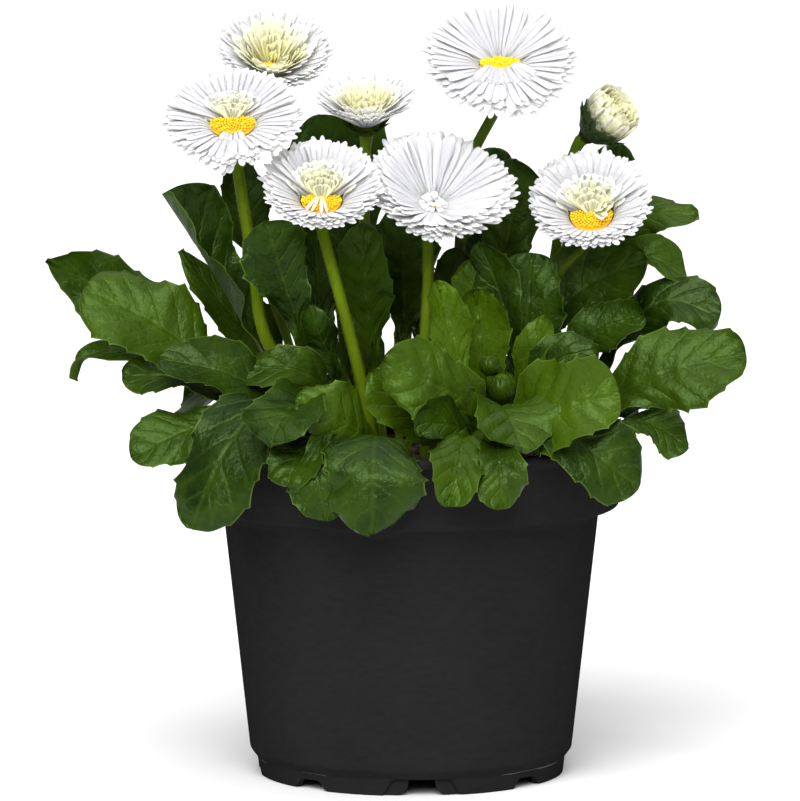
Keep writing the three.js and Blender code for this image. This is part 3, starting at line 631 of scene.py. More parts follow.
@dataclass
class Finishes:
    """One material for each slot, made when it is first asked for."""

    kinds: dict[Slot, Any] = field(default_factory=lambda: {
        Slot.POT: PotPlastic(), Slot.SOIL: Compost(), Slot.LEAF: LeafTissue(),
        Slot.STEM: StemTissue(), Slot.RAY: RayTissue(), Slot.DISC: DiscTissue()})
    made: dict[Slot, bpy.types.Material] = field(default_factory=dict)

    def dress(self, piece: bpy.types.Object, slot: Slot, *nodes: str) -> None:
        """Gives a piece its finish, its body and the nodes that it stands for.

        Args:
            piece: the finished object.
            slot: the record's material slot that the piece takes its finish from.
            nodes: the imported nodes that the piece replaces.
        """
        if slot not in self.made:
            self.made[slot] = self.kinds[slot].material()
        piece.data.materials.append(self.made[slot])
        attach(piece, "root")
        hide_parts(*nodes)
        LOG.info("%s: %d points, stands for %s", piece.name, len(piece.data.vertices),
                 ", ".join(nodes))


# Pot

@dataclass(frozen=True)
class Notch:
    """A gap in the foot ring with slanted sides, at offset and again every so many degrees."""

    width: float
    height: float
    offset: float
    every: float


LEDGE = (41.1, 4.4)


@dataclass
class NurseryPot:
    """Tapered black pot: foot ring, ledge, wall, stepped lip band and rolled rim."""

    sides: int = 240
    turn: float = 4.0
    foot_top: float = 4.6
    floor_top: float = 6.0
    notches: tuple[Notch, ...] = (
        Notch(18.8, 4.3, 0, 180), Notch(8.6, 2.6, 45, 90), Notch(8.6, 2.6, 90, 180))
    ring_middle: float = 40.4
    ear_radii: Pair = (39.3, 39.9)
    ear_reach: Pair = (10.2, 3.3)
    ear_heights: Point = (0.3, 4.5, 4.8)
    ear_bend: float = 0.42
    floor_radii: Pair = (8.6, 38.9)
    pad: tuple[Pair, ...] = ((8.7, 0), (9, 0.3), (9.6, 4.8), (9.4, 5.9))
    drain_radius: float = 4.0
    drain_circle: float = 25.0
    drains: int = 8
    outline: tuple[Point, ...] = (
        (38.2, 4.6, 0.1), (38.6, 0, 0.3), (40.6, 0, 0.3), (*LEDGE, 0.2), (42.9, 6.8, 0.6),
        (49.8, 69.2, 0.6), (50.4, 70.6, 0.6), (55.2, 72.0, 0.7), (57.2, 87.2, 0.5),
        (58.6, 88.2, 0.4), (59.9, 88.9, 0.5), (59.9, 90.2, 0.5), (58.9, 91, 0.5), (57.4, 91, 0.5),
        (54.4, 73.6, 0.6), (48.9, 71, 0.6), (41.7, 7.6, 0.5), (39.8, 6, 0.2), (38.2, 6, 0.1))

    def rounded(self) -> Array:
        """Rounds the corners of the outline.

        Each corner becomes a parabola of five points between the two places that lie its
        rounding away from it, or a third of the way to the next corner if that is nearer.

        Returns:
            Radius and height of each point of the closed outline.
        """
        table = np.array(self.outline)
        corner, size = table[:, :2], table[:, 2:]
        back, ahead = np.roll(corner, 1, axis=0) - corner, np.roll(corner, -1, axis=0) - corner
        reach = [np.minimum(size, np.linalg.norm(way, axis=1, keepdims=True) / 3)
                 for way in (back, ahead)]
        start, stop = corner + unit(back) * reach[0], corner + unit(ahead) * reach[1]
        t = np.linspace(0, 1, 5)[None, :, None]
        arcs = ((1 - t) ** 2 * start[:, None] + 2 * t * (1 - t) * corner[:, None]
                + t**2 * stop[:, None])
        return arcs.reshape(-1, 2)

    def notch_height(self, azimuth: Array) -> Array:
        """How high the foot ring is cut away, with slanted ends to each cut.

        Args:
            azimuth: angles about the axis.

        Returns:
            The height of the cut at each.
        """
        cut = np.zeros_like(azimuth)
        for notch in self.notches:
            off = np.degrees(azimuth) + 90 - self.turn - notch.offset
            off = (off + notch.every / 2) % notch.every - notch.every / 2
            far = np.abs(np.radians(off)) * self.ring_middle
            inner, outer = notch.width / 2 - 0.4 * notch.height, notch.width / 2 + 0.8
            cut = np.maximum(cut, notch.height * np.clip((outer - far) / (outer - inner), 0, 1))
        return cut

    def wall(self, outline: Array) -> Array:
        """Turns the outline round the axis and lifts the foot ring's edge at the notches.

        The turns are crowded a little towards eight azimuths, where notches end.

        Args:
            outline: radius and height of its points.

        Returns:
            Points (turns, outline, 3).
        """
        even = circle(self.sides)[:, None]
        azimuth = even + 0.004 * np.sin(8 * even)
        radius, height = outline.T[:, None]
        low = np.clip(1 - height / self.foot_top, 0, 1) * (radius < self.ring_middle + 1.6)
        return turned(radius, azimuth, height + self.notch_height(azimuth) * low)

    def ear(self, middle: float, hand: int) -> Array:
        """One of the thin plates that close the upper corners of a large notch.

        It runs along the arc from the notch's end towards its middle. Its lower edge is level
        at first and then turns up in a quarter of an ellipse.

        Args:
            middle: azimuth of the notch's middle.
            hand: 1 or -1, the side of it that the ear is on.

        Returns:
            Points (columns, 4, 3), each column a ring of four.
        """
        u = np.linspace(0, 1, 14)
        (inner, outer), (far, near) = self.ear_radii, self.ear_reach
        level, end, top = self.ear_heights
        bent = np.clip(1 - (1 - u) / self.ear_bend, 0, 1)
        low = level + (end - level) * (1 - np.sqrt(1 - bent**2))
        azimuth = (middle + hand * (far + (near - far) * u) / outer)[:, None]
        radius = np.array([outer, outer, inner, inner])[::hand]
        height = np.stack([low, 0 * low + top, 0 * low + top, low], -1)[:, ::hand]
        return turned(radius, azimuth, height)

    def floor_plate(self) -> Array:
        """One sector of the floor, with its drain hole.

        From each point of the hole's edge a straight line runs to the point of the sector's
        outline that lies the same share of the way round; four sheets close it to a ring.

        Returns:
            Points (places round the hole, 4, 3).
        """
        half = np.pi / self.drains
        arc = np.linspace(-half, half, 9)
        inner, outer = self.floor_radii
        sides = np.linspace(inner, outer, 9)[1:-1]
        rim = np.concatenate([turned(outer, arc, 0), turned(sides[::-1], half, 0),
                              turned(inner, arc[::-1], 0), turned(sides, -half, 0)])[:, :2]
        centre = np.array([self.drain_circle, 0.0])
        hole = centre + self.drain_radius * unit(rim - centre)
        low, high = self.foot_top, self.floor_top
        rows = [np.column_stack([flat, np.full(len(flat), z)])
                for flat, z in ((hole, low), (rim, low), (rim, high), (hole, high))]
        return np.stack(rows, 1)

    def build(self, finishes: Finishes) -> None:
        """Makes the pot: wall, ears, floor sectors with drain holes and the pad under them.

        Args:
            finishes: dresses the piece.
        """
        batch = MeshBatch()
        outline = self.rounded()
        wall = self.wall(outline)
        ledge = np.hypot(*(outline - LEDGE).T) < 0.15
        batch.add(wall.reshape(-1, 3), torus_faces(*wall.shape[:2]),
                  ledge=np.tile(ledge * 1.0, len(wall))[None])
        for middle in np.radians([self.turn - 90, self.turn + 90]):
            for hand in (1, -1):
                batch.add_tubes(self.ear(middle, hand))
        sector = self.floor_plate()
        angles = np.radians(self.turn + (180 + 360 * np.arange(self.drains)) / self.drains)
        batch.add(swung(sector, angles[:, None, None]).reshape(self.drains, -1, 3),
                  torus_faces(*sector.shape[:2]))
        batch.add_tubes(lathe(self.pad, 64))
        finishes.dress(batch.make("nursery_pot", 32), Slot.POT, "pot")


@dataclass
class PottingCompost:
    """The compost that fills the pot: a lumpy top with crumbs and a plain body below."""

    sides: int = 160
    rows: int = 56
    edge: float = 55.2
    height: float = 83.0
    mound: float = 2.0
    crumbs: int = 420
    seed: int = 7
    body: tuple[Pair, ...] = (
        (53.9, 74.4), (48.3, 71.4), (41.2, 8.6), (39.1, 6.4), (0.6, 6.4))

    def lumps(self, x: Array, y: Array) -> Array:
        """Height of the lumps: six crossed waves, each smaller and turned 37° further.

        Args:
            x: places to the right.
            y: places to the back.

        Returns:
            The height at each place, around 0.
        """
        total = np.zeros_like(x)
        for octave in range(6):
            size, turn = 13.0 / 1.7**octave, math.radians(37 * octave)
            u = (x * math.cos(turn) + y * math.sin(turn)) / size
            v = (y * math.cos(turn) - x * math.sin(turn)) / size
            total += 0.62**octave * np.sin(2 * np.pi * u + 1.3 * np.sin(4.1 * v)) * np.sin(
                2 * np.pi * v + octave)
        return total

    def top(self, x: Array, y: Array) -> Array:
        """Height of the compost's top: a low mound with lumps that fade at the pot's wall."""
        out = np.hypot(x, y) / self.edge
        return self.height + self.mound * (1 - out**2) + 0.75 * self.lumps(x, y) * (1 - out**8)

    def build(self, finishes: Finishes) -> None:
        """Makes the top and the body as one turned shape and strews crumbs over the top.

        Args:
            finishes: dresses the piece.
        """
        rng = np.random.default_rng(self.seed)
        batch = MeshBatch()
        azimuth, (radii, heights) = circle(self.sides), np.array(self.body).T
        radius = np.concatenate([np.linspace(0.6, self.edge, self.rows), radii])[:, None]
        z = self.top(radius * np.cos(azimuth), radius * np.sin(azimuth))
        z[self.rows:] = heights[:, None]
        batch.add_tubes(turned(radius, azimuth, z))
        batch.add_tubes(self.crumb_points(rng).reshape(-1, 4, 6, 3))
        finishes.dress(batch.make("potting_compost"), Slot.SOIL, "soil")

    def crumb_points(self, rng: np.random.Generator) -> Array:
        """Crumbs: rounded lumps of four rings, each pulled out of shape and turned at random.

        Args:
            rng: source of their places, sizes and shapes.

        Returns:
            Points (crumbs, 24, 3).
        """
        n = self.crumbs
        level = np.radians([-62, -22, 22, 62])[:, None]
        ball = turned(np.cos(level), circle(6), np.sin(level)).reshape(1, -1, 3)
        shape = ball * rng.uniform(0.7, 1.3, (n, 24, 1)) * rng.uniform(0.6, 1.2, (n, 1, 3))
        shape = shape * rng.uniform(0.35, 1.5, (n, 1, 1)) ** 1.2
        shape = swung(shape, rng.uniform(0, 2 * np.pi, (n, 1)))
        out, way = self.edge * 0.96 * np.sqrt(rng.random(n)), rng.uniform(0, 2 * np.pi, n)
        x, y = out * np.cos(way), out * np.sin(way)
        return shape + np.stack([x, y, self.top(x, y) + 0.2], -1)[:, None]


# Leaves

@dataclass(frozen=True)
class Leaf:
    """One leaf: the points its midrib passes after the crown, and its form.

    face is the way its upper side looks, petiole the share that is stalk, fold the angle of
    its halves in degrees, peak where the blade is widest and tip how blunt its end is. young is
    how far it is yellow-green and tone how light; at 0 and -1 they are left to chance.
    """

    path: tuple[Point, ...]
    width: float
    face: Point
    petiole: float
    fold: float = 14
    peak: float = 0.66
    tip: float = 0.45
    young: float = 0.0
    tone: float = -1.0


@dataclass(frozen=True)
class LeafForm:
    """How every blade is built: its grid, its thicknesses, lobes, teeth, veins and puckers.

    The depth of lobes, teeth and cup is a share of the half width. wave is millimetres, and so
    are ruffle, pucker, groove and rib on a leaf of full_width or more.
    """

    rows: int = 84
    columns: int = 13
    blade_thick: float = 0.5
    stalk_thick: float = 1.6
    stalk_half: float = 1.2
    full_width: float = 20.0
    wing: float = 0.14
    lobe_depth: float = 0.12
    lobe_waves: float = 1.7
    lobe_skew: float = 0.35
    teeth: float = 7.5
    tooth_depth: float = 0.12
    wave: float = 2.0
    margin_waves: float = 1.5
    margin_skew: float = 0.25
    ruffle: float = 0.6
    veins: float = 7.0
    pucker: float = 0.5
    groove: float = 0.35
    cup: float = 0.17
    rib: float = 0.45

    def outline(self, leaf: Leaf, along: Array, share: Array) -> Array:
        """Half width of a leaf.

        The blade is a sine swell to its widest point, then a rounded fall. Its stalk has
        wings that widen towards the blade.

        Args:
            leaf: the leaf.
            along: how far each place is along the blade, 0 to 1.
            share: how far it is along the whole leaf.

        Returns:
            The half width at each place.
        """
        swell = np.sin(0.5 * np.pi * np.minimum(1, along / leaf.peak)) ** 1.3
        past = np.maximum(0, along - leaf.peak) / (1 - leaf.peak)
        half = 0.5 * leaf.width * swell * np.maximum(0, 1 - past**2) ** leaf.tip
        wing = self.wing * leaf.width * smooth(0.15, 1.0, share / leaf.petiole)
        return np.maximum(half, np.maximum(self.stalk_half, wing) * (1 - 0.75 * along))

    def build(self, leaf: Leaf, root: Array, phase: float) -> tuple[Array, dict[str, Array]]:
        """Works out one leaf as a closed slab.

        The midrib is the smooth line through the leaf's points. Across each of its places s
        runs from -1 to 1: a point moves s half widths sideways, times slow lobes and forward
        teeth at the margin, and rises with the fold (rounded off at the midrib), with waves of
        the margin by s², with a curl and ruffles by s³, and with puckers between the side
        veins. The upper and lower side stand half the thickness off that sheet, thinner towards
        the margin, with a rib along the lower side's middle.

        Args:
            leaf: the leaf.
            root: where its midrib starts, in its crown.
            phase: shifts its lobes and waves, so that no two leaves are alike.

        Returns:
            Points (rows, ring, 3), upper side first, and the point values by name in a row.
        """
        curve = ThroughCurve(np.vstack([root, np.array(leaf.path, float)]))
        share = 1 - (1 - np.linspace(0, 1, self.rows)) ** 1.25
        along = np.clip((share - leaf.petiole) / (1 - leaf.petiole), 0, 1)[:, None]
        heading = curve.heading(share)
        side = unit(np.cross(curve.heading(np.array([0.7]))[0], unit(np.array(leaf.face, float))))
        across = unit(side - dot(heading, side[None]) * heading)
        normal = np.cross(across, heading)

        s = np.sin(np.linspace(-0.5, 0.5, self.columns) * np.pi)[None] * 0.5
        s = s + np.linspace(-0.5, 0.5, self.columns)[None]
        out, hand = np.abs(s), np.sign(s)
        half = self.outline(leaf, along, share[:, None])
        blade = smooth(0.0, 0.12, along)
        lobe = 1 + self.lobe_depth * blade * np.sin(
            2 * np.pi * (self.lobe_waves * along + phase + self.lobe_skew * hand))
        step = (self.teeth * along * (0.75 + leaf.width / 60) + phase * 1.7 + 0.4 * hand) % 1.0
        tooth = 1 + self.tooth_depth * blade * (out**5) * (step**3 - 0.3) * (
            1 - smooth(0.94, 1.0, along))
        fold = math.radians(leaf.fold)
        reach = s * half * lobe * tooth * math.cos(fold)
        soft = np.sqrt(out**2 + 0.02) - 0.14
        wave = self.wave * out**2 * np.sin(2 * np.pi * (
            self.margin_waves * along + self.margin_skew * (s > 0) + phase))
        ruffle = self.ruffle * out**3 * np.sin(2 * np.pi * (3.9 * along + 2.3 * phase + 0.3 * hand))
        ribs = ((self.veins * along - 1.7 * out) % 1.0) - 0.5
        size = min(1.0, leaf.width / self.full_width)
        between = np.cos(2 * np.pi * ribs) * -1
        pucker = self.pucker * (0.3 + (3.7 * phase) % 1.0) * size * between * np.sin(
            np.pi * np.clip(out * 1.15, 0, 1)) * blade
        groove = -self.groove * size * np.exp(-(out / 0.08) ** 2) * blade
        cup = self.cup * half * out**3 * math.sin(9 * phase)
        lift = soft * half * math.sin(fold) + blade * (wave + cup + ruffle * size + pucker + groove)
        sheet = (curve.at(share)[:, None] + reach[..., None] * across[:, None]
                 + lift[..., None] * normal[:, None])

        stalk = 1 - smooth(leaf.petiole * 0.55, leaf.petiole * 1.15 + 1e-3, share)[:, None]
        thick = self.blade_thick + (self.stalk_thick - self.blade_thick) * stalk
        edge = 0.4 * (1 - stalk) + 0.12 * stalk
        body = thick / 2 * (edge + (1 - edge) * np.sqrt(np.maximum(0, 1 - out**2)))
        rib = self.rib * size * np.exp(-(out / 0.1) ** 2) * blade * (1 - along * 0.8)
        upper = sheet + body[..., None] * normal[:, None]
        lower = sheet - (body + rib)[..., None] * normal[:, None]
        points = np.concatenate([upper, lower[:, ::-1]], axis=1)

        flat, ones = np.broadcast_to(s, reach.shape), np.ones_like(reach)
        pairs = {"blade": (along * ones, along * ones), "across": (flat, flat[:, ::-1]),
                 "under": (0 * ones, ones), "stalk": (stalk * ones * 0.9, stalk * ones * 0.9)}
        return points, {name: np.concatenate(pair, 1).ravel() for name, pair in pairs.items()}


@dataclass(frozen=True)
class Crown:
    """The short stock in the compost that the leaves of a rosette grow from."""

    x: float
    y: float
    radius: float
    bottom: float = 78.0
    top: float = 88.0
    root_height: float = 85.5
    root_share: float = 0.65

    def root(self, towards: Point) -> Array:
        """Where a leaf leaves the crown: inside it, on the side that the leaf sets off to.

        Args:
            towards: the first point that the leaf's midrib passes.

        Returns:
            The point.
        """
        away = unit(np.array([towards[0] - self.x, towards[1] - self.y]))
        out = self.root_share * self.radius * away
        return np.array([self.x + out[0], self.y + out[1], self.root_height])

    def points(self) -> Array:
        """The stock: twelve rings of a round that is pinched into eight leaf bases.

        Returns:
            Points (12, 48, 3).
        """
        height = np.linspace(self.bottom, self.top, 12)[:, None]
        turn = circle(48)
        level = (height - self.bottom) / (self.top - self.bottom)
        radius = self.radius * (0.96 + 0.04 * np.cos(8 * turn)) * np.sqrt(
            np.maximum(0.04, 1 - smooth(0.6, 1.05, level) * 0.9))
        return turned(radius, turn, height) + (self.x, self.y, 0)


@dataclass(frozen=True)
class ClosedBud:
    """A closed bud low in a rosette, on its short stalk, wrapped in pointed scales."""

    centre: Point
    radius: float
    foot: Pair
    scales: int = 11

    def add_to(self, batch: MeshBatch) -> None:
        """Adds stalk, heart and scales; a scale is a lens bent over the bud's ball.

        Args:
            batch: the rosette's mesh.
        """
        rng, centre = batch.rng, np.array(self.centre)
        base = np.array([*self.foot, 85.5])
        axis = unit(centre - base)
        side = unit(np.cross(axis, np.array([0.0, 1.0, 0.2])))
        back = np.cross(axis, side)
        turn = circle(12)[:, None]
        ring = np.cos(turn) * side + np.sin(turn) * back
        share = np.linspace(0, 1, 10)[:, None, None]
        stalk = base + (centre - base) * share + ring[None] * (1.0 + 0.25 * share)
        batch.add_tubes(stalk, stalk=0.8, tone=0.5, young=0.25)
        level = np.linspace(-1.45, 1.35, 14)[:, None, None]
        ball = np.sin(level) * axis * 1.05 + np.cos(level) * ring[None] * 0.93
        batch.add_tubes(centre + self.radius * ball, stalk=0.0, tone=0.8, young=0.45)
        for place in range(self.scales):
            about = 2 * np.pi * place / self.scales * 2.0 + rng.normal(0, 0.1)
            t = np.linspace(0, 1, 8)[:, None]
            s = np.linspace(-1, 1, 5)[None]
            half = 0.42 * np.sin(np.pi * np.clip(0.22 + 0.78 * t, 0, 1)) ** 0.7 + 0.01
            angle = about + s * half / np.maximum(0.35, np.cos(-1.1 + 2.3 * t))
            height = -1.15 + (2.25 + 0.1 * rng.normal()) * t + 0 * s
            outer = self.radius * (1.05 + 0.05 * (place % 2) - 0.05 * s**2)
            sheets = []
            for grow in (0.09, -0.02):
                far = outer + grow * self.radius
                out = turned(far * np.cos(height), angle, far * np.sin(height))
                sheets.append(centre + out @ np.stack([side, back, axis]))
            grid = np.concatenate([sheets[0], sheets[1][:, ::-1]], axis=1)
            batch.add_tubes(grid, tone=0.3, young=0.16, blade=0.5,
                            across=np.tile(np.r_[s[0], s[0][::-1]], 8) * 0.8)


@dataclass
class Rosette:
    """A tuft of leaves on its crown, with any closed buds that stand in it."""

    name: str
    crown: Crown
    leaves: tuple[Leaf, ...]
    places: tuple[int, ...]
    buds: tuple[ClosedBud, ...] = ()
    phase_step: float = 0.61
    stalk_rows: int = 34
    stalk_hairs: int = 90
    form: LeafForm = field(default_factory=LeafForm)

    def build(self, finishes: Finishes) -> None:
        """Makes the rosette as one piece; places number its leaves within the plant.

        Args:
            finishes: dresses the piece.
        """
        rng = np.random.default_rng(100 + self.places[0])
        batch = MeshBatch(rng)
        batch.add_tubes(self.crown.points(), stalk=0.7, tone=0.3)
        for place, leaf in zip(self.places, self.leaves):
            points, values = self.form.build(
                leaf, self.crown.root(leaf.path[0]), self.phase_step * place)
            tone = leaf.tone if leaf.tone >= 0 else rng.uniform(0.15, 0.95)
            young = leaf.young if leaf.young > 0 else 0.2 * rng.random() ** 2
            batch.add_tubes(points, tone=tone, young=young, **values)
            batch.sprout(points[:self.stalk_rows], self.stalk_hairs, 0.7, 0.035,
                         stalk=0.85, tone=0.8, young=0.4)
        for bud in self.buds:
            bud.add_to(batch)
        piece = batch.make(f"leaf_rosette_{self.name}", 70)
        finishes.dress(piece, Slot.LEAF, f"leaves_{self.name}")


# Blooms

GOLDEN_ANGLE = np.radians(137.5)
RAY_PLACES = np.array([0.0, 0.22, 0.42, 0.6, 0.74, 0.85, 0.93, 0.98, 1.0])[None]


def ray_arc(first: Array, last: Array, length: Array) -> tuple[Array, Array, Array]:
    """Arcs in upright planes, whose angle above flat runs from first to last.

    Each point lies a chord away from the root, along the mean of the root's angle and its own.

    Args:
        first: each ray's angle at its root, (n,).
        last: its angle at its tip.
        length: its length.

    Returns:
        How far out and how high each place of each ray is from its root, and its angle there.
    """
    first, last = first[:, None], last[:, None]
    bend = (last - first) * RAY_PLACES / 2
    chord = length[:, None] * RAY_PLACES * np.sinc(bend / np.pi)
    return chord * np.cos(first + bend), chord * np.sin(first + bend), first + 2 * bend


@dataclass(frozen=True)
class RayRow:
    """A row of rays: how many, where they start, how long they are and how steep.

    radius, height and length are shares of the bloom's radius, root and tip angles above
    flat, and reach how far the row goes on each side of turn, an azimuth from the back.
    ahead moves the row to the front, ragged is how unlike its rays are, and foot how far
    their lower part is green.
    """

    count: int
    radius: float
    height: float
    length: float
    root: float
    tip: float
    reach: float = 180.0
    cream: float = 0.0
    width: float = 1.0
    turn: float = 0.0
    ahead: float = 0.0
    ragged: float = 1.0
    foot: float = 0.0

    def shorter(self, length: float, reach: float) -> "RayRow":
        """The same row with shorter rays and less reach, both given as shares."""
        return replace(self, length=self.length * length, reach=self.reach * reach)


@dataclass(frozen=True)
class Clump:
    """Rays of a bloom that hang, stand or draw together about one azimuth.

    azimuth and spread are degrees from the back, tilt is added to the rays' angle, gather
    draws them sideways to the middle and stretch lengthens them.
    """

    azimuth: float
    spread: float
    tilt: float
    gather: float = 0.0
    stretch: float = 1.0


@dataclass(frozen=True)
class Tuft:
    """The short young rays that stand in the middle of a bloom.

    x and y are where the tuft's middle lies, to the back and across, and half_x and half_y how
    far it spreads, all in shares of the bloom's radius. Its rays stand at steep degrees above
    flat in the middle, and at its rim at shallow ones at the back and front ones at the front.
    """

    count: int
    x: float
    half_x: float
    half_y: float
    length: float
    y: float = 0.0
    steep: float = 82.0
    shallow: float = 46.0
    front: float = 92.0
    hook: float = 6.0
    cream: float = 0.85
    width: float = 0.85
    foot: float = 0.0


@dataclass
class Bloom:
    """A bloom on its stem: rays in rows, disc florets, receptacle and the green cup.

    axis is the way it faces and rise the degrees its rays stand up, back more behind than in
    front. disc, ray_half, bract_half and bract_tip (out and up) are shares of its radius, foot
    and passes are where its stem starts and runs, thick is the stem's radius, shade how dark
    the stem is, and depth shortens the cup. stretch lengthens all rays.
    """

    name: str
    centre: Point
    axis: Point
    radius: float
    rise: float
    back: float
    disc: float
    foot: Pair
    passes: tuple[Point, ...]
    thick: float
    rows: tuple[RayRow, ...]
    seed: int
    bract_tip: Pair = (0.42, -0.12)
    bract_half: float = 0.085
    bracts: int = 13
    florets: int = 230
    dome: float = 0.24
    stem_hairs: int = 900
    depth: float = 1.0
    shade: float = 0.25
    ray_half: float = 0.049
    stretch: float = 1.0
    clumps: tuple[Clump, ...] = ()
    tufts: tuple[Tuft, ...] = ()

    def axes(self) -> tuple[Array, Array, Array]:
        """Works out the bloom's own axes.

        Returns:
            The ways to its back, across it and the way it faces.
        """
        facing = unit(np.array(self.axis, float))
        back = np.array([0.0, 1.0, 0.25])
        back = unit(back - np.dot(back, facing) * facing)
        return back, np.cross(facing, back), facing

    def placed(self, local: Array) -> Array:
        """Moves points from the bloom's own axes to the plant's."""
        return np.array(self.centre) + local @ np.stack(self.axes())

    def build(self, finishes: Finishes) -> None:
        """Makes the bloom's pieces: rays, disc florets where there are any, and stem.

        Args:
            finishes: dresses the pieces.
        """
        rng = np.random.default_rng(self.seed)
        parts = [(self.add_all_rays, "ray_florets", 60, Slot.RAY, "rays"),
                 (self.add_disc, "disc_florets", 180, Slot.DISC, "disc"),
                 (self.add_stem, "flower_stem", 180, Slot.STEM, "stem")]
        for add, piece, sharp, slot, node in parts:
            if slot is not Slot.DISC or self.disc > 0:
                batch = MeshBatch(rng)
                add(batch)
                made = batch.make(f"{piece}_{self.name}", sharp)
                finishes.dress(made, slot, f"{node}_{self.name}")

    def button(self) -> float:
        """Radius of the receptacle, as a share of the bloom's."""
        return max(0.22, self.disc + 0.06)

    def add_all_rays(self, batch: MeshBatch) -> None:
        """Adds all rays and the receptacle that they are rooted in.

        Args:
            batch: the mesh that takes them.
        """
        wide = self.button()
        profile = ((0.05, -0.2), (wide - 0.06, -0.17), (wide - 0.01, -0.12),
                   (wide - 0.05, -0.09), (0.5 * wide, -0.05), (0.03, -0.04))
        button = lathe(np.array(profile) * self.radius, 40)
        batch.add_tubes(self.placed(button), cream=0.8, along=0.5)
        for place, row in enumerate(self.rows):
            self.add_row(batch, row, place)
        for tuft in self.tufts:
            self.add_tuft(batch, tuft)

    def add_row(self, batch: MeshBatch, row: RayRow, place: int) -> None:
        """Adds one row of rays.

        The middle line of a ray is an arc from the root's angle to the tip's, in an upright
        plane that turns a little with u² where the ray curls. Its first stretch sinks into the
        receptacle. Where the disc is open in front, rays start at its edge.

        Args:
            batch: the mesh that takes the rays.
            row: the row's table line.
            place: the row's place, outermost first.
        """
        rng, n, full = batch.rng, row.count, row.reach >= 180
        step = 2 * row.reach / (n if full else n - 1)
        shift = 0.5 * (place % 2) if full else 0
        azimuth = np.radians(-row.reach + step * (np.arange(n) + shift))
        azimuth = azimuth + rng.normal(0, 0.12, n) * math.radians(step) + math.radians(row.turn)
        rise = self.rise + self.back * np.cos(azimuth)
        lean = rng.normal(0, 0.4 * row.ragged, n)
        start = row.root + rise + lean
        stop = row.tip + rise + lean * 1.3 + rng.normal(0, 1.1 * row.ragged, n)
        length = row.length * (
            1 + rng.normal(0, 0.03 * row.ragged, n) - 0.07 * (rng.random(n) < 0.1))
        curl = np.radians(rng.normal(0, 1.1 * row.ragged, n))
        for clump in self.clumps:
            off = (np.degrees(azimuth) - clump.azimuth + 180) % 360 - 180
            near = np.exp(-((off / clump.spread) ** 2))
            start, stop = start + 0.5 * near * clump.tilt, stop + near * clump.tilt
            curl = curl - np.radians(off) * near * clump.gather
            length = length * (1 + near * (clump.stretch - 1))
        front = (np.cos(azimuth) < 0.2) & (self.disc > 0) & (row.turn == 0)
        clear = self.disc + 0.02
        root = np.where(front, np.maximum(row.radius, clear), row.radius)
        inner = np.where(front, clear, max(0.03, row.radius - 0.1))
        length = (length - (root - row.radius)) * self.stretch

        out, up, slope = ray_arc(np.radians(start), np.radians(stop), length)
        low = -0.108 + 0.012 * place
        reach, height = root[:, None] + out, row.height + up
        sunk = (1 - RAY_PLACES / RAY_PLACES[0, 1]).clip(0, 1)
        reach = reach * (1 - sunk) + inner[:, None] * sunk
        height = height * (1 - sunk) + low * sunk
        around = azimuth[:, None] + curl[:, None] * RAY_PLACES**2
        line = turned(reach, around, height) - (row.ahead, 0, 0)
        self.add_rays(batch, line, around, slope, row)

    def add_rays(self, batch: MeshBatch, line: Array, around: Array, slope: Array,
                 row: RayRow | Tuft) -> None:
        """Gives rays their body along their middle lines.

        Across each line a ring of six points makes a shallow trough, which swells to its
        widest at two thirds of the ray and ends round.

        Args:
            batch: the mesh that takes the rays.
            line: middle lines in the bloom's own axes, in shares of its radius, (n, rows, 3).
            around: azimuth of each place of each line.
            slope: angle above flat of each place.
            row: the row or tuft, for the rays' width and colours.
        """
        rng, n, size = batch.rng, len(line), self.radius
        c, s = np.cos(around), np.sin(around)
        sideways = np.stack([-s, c, 0 * c], -1)
        normal = np.cross(turned(np.cos(slope), around, np.sin(slope)), sideways)
        roll = np.radians(rng.normal(1.5, 1.5, n))[:, None, None]
        roll = roll * (0.4 + 0.6 * RAY_PLACES[..., None])
        across = sideways * np.cos(roll) + normal * np.sin(roll)
        normal = normal * np.cos(roll) - sideways * np.sin(roll)
        swell = 0.42 + 0.58 * smooth(0.05, 0.62, RAY_PLACES)
        swell = swell * np.sqrt(
            np.maximum(0.02, 1 - (np.maximum(0, RAY_PLACES - 0.86) / 0.144) ** 2))
        half = self.ray_half * size * row.width * rng.uniform(0.85, 1.15, n)[:, None] * swell
        ring_s = np.array([-1, -0.5, 0.5, 1, 0.5, -0.5])
        ring_t = np.array([0, 0.04, 0.04, 0, -0.04, -0.04])
        trough = rng.uniform(-0.06, 0.1, n)[:, None, None] * half[..., None] * (ring_s**2 - 0.4)
        points = (size * line[:, :, None] + (half[..., None] * ring_s)[..., None]
                  * across[:, :, None] + (trough + ring_t)[..., None] * normal[:, :, None])
        shade = np.clip(row.cream + rng.normal(0, 0.08, n) * (row.cream > 0), 0, 1)
        along = np.repeat(RAY_PLACES[0], 6)[None]
        batch.add_tubes(self.placed(points), cream=shade[:, None] * (1.05 - 0.2 * along),
                        along=along, foot=row.foot, across=np.tile(ring_s, RAY_PLACES.size)[None])

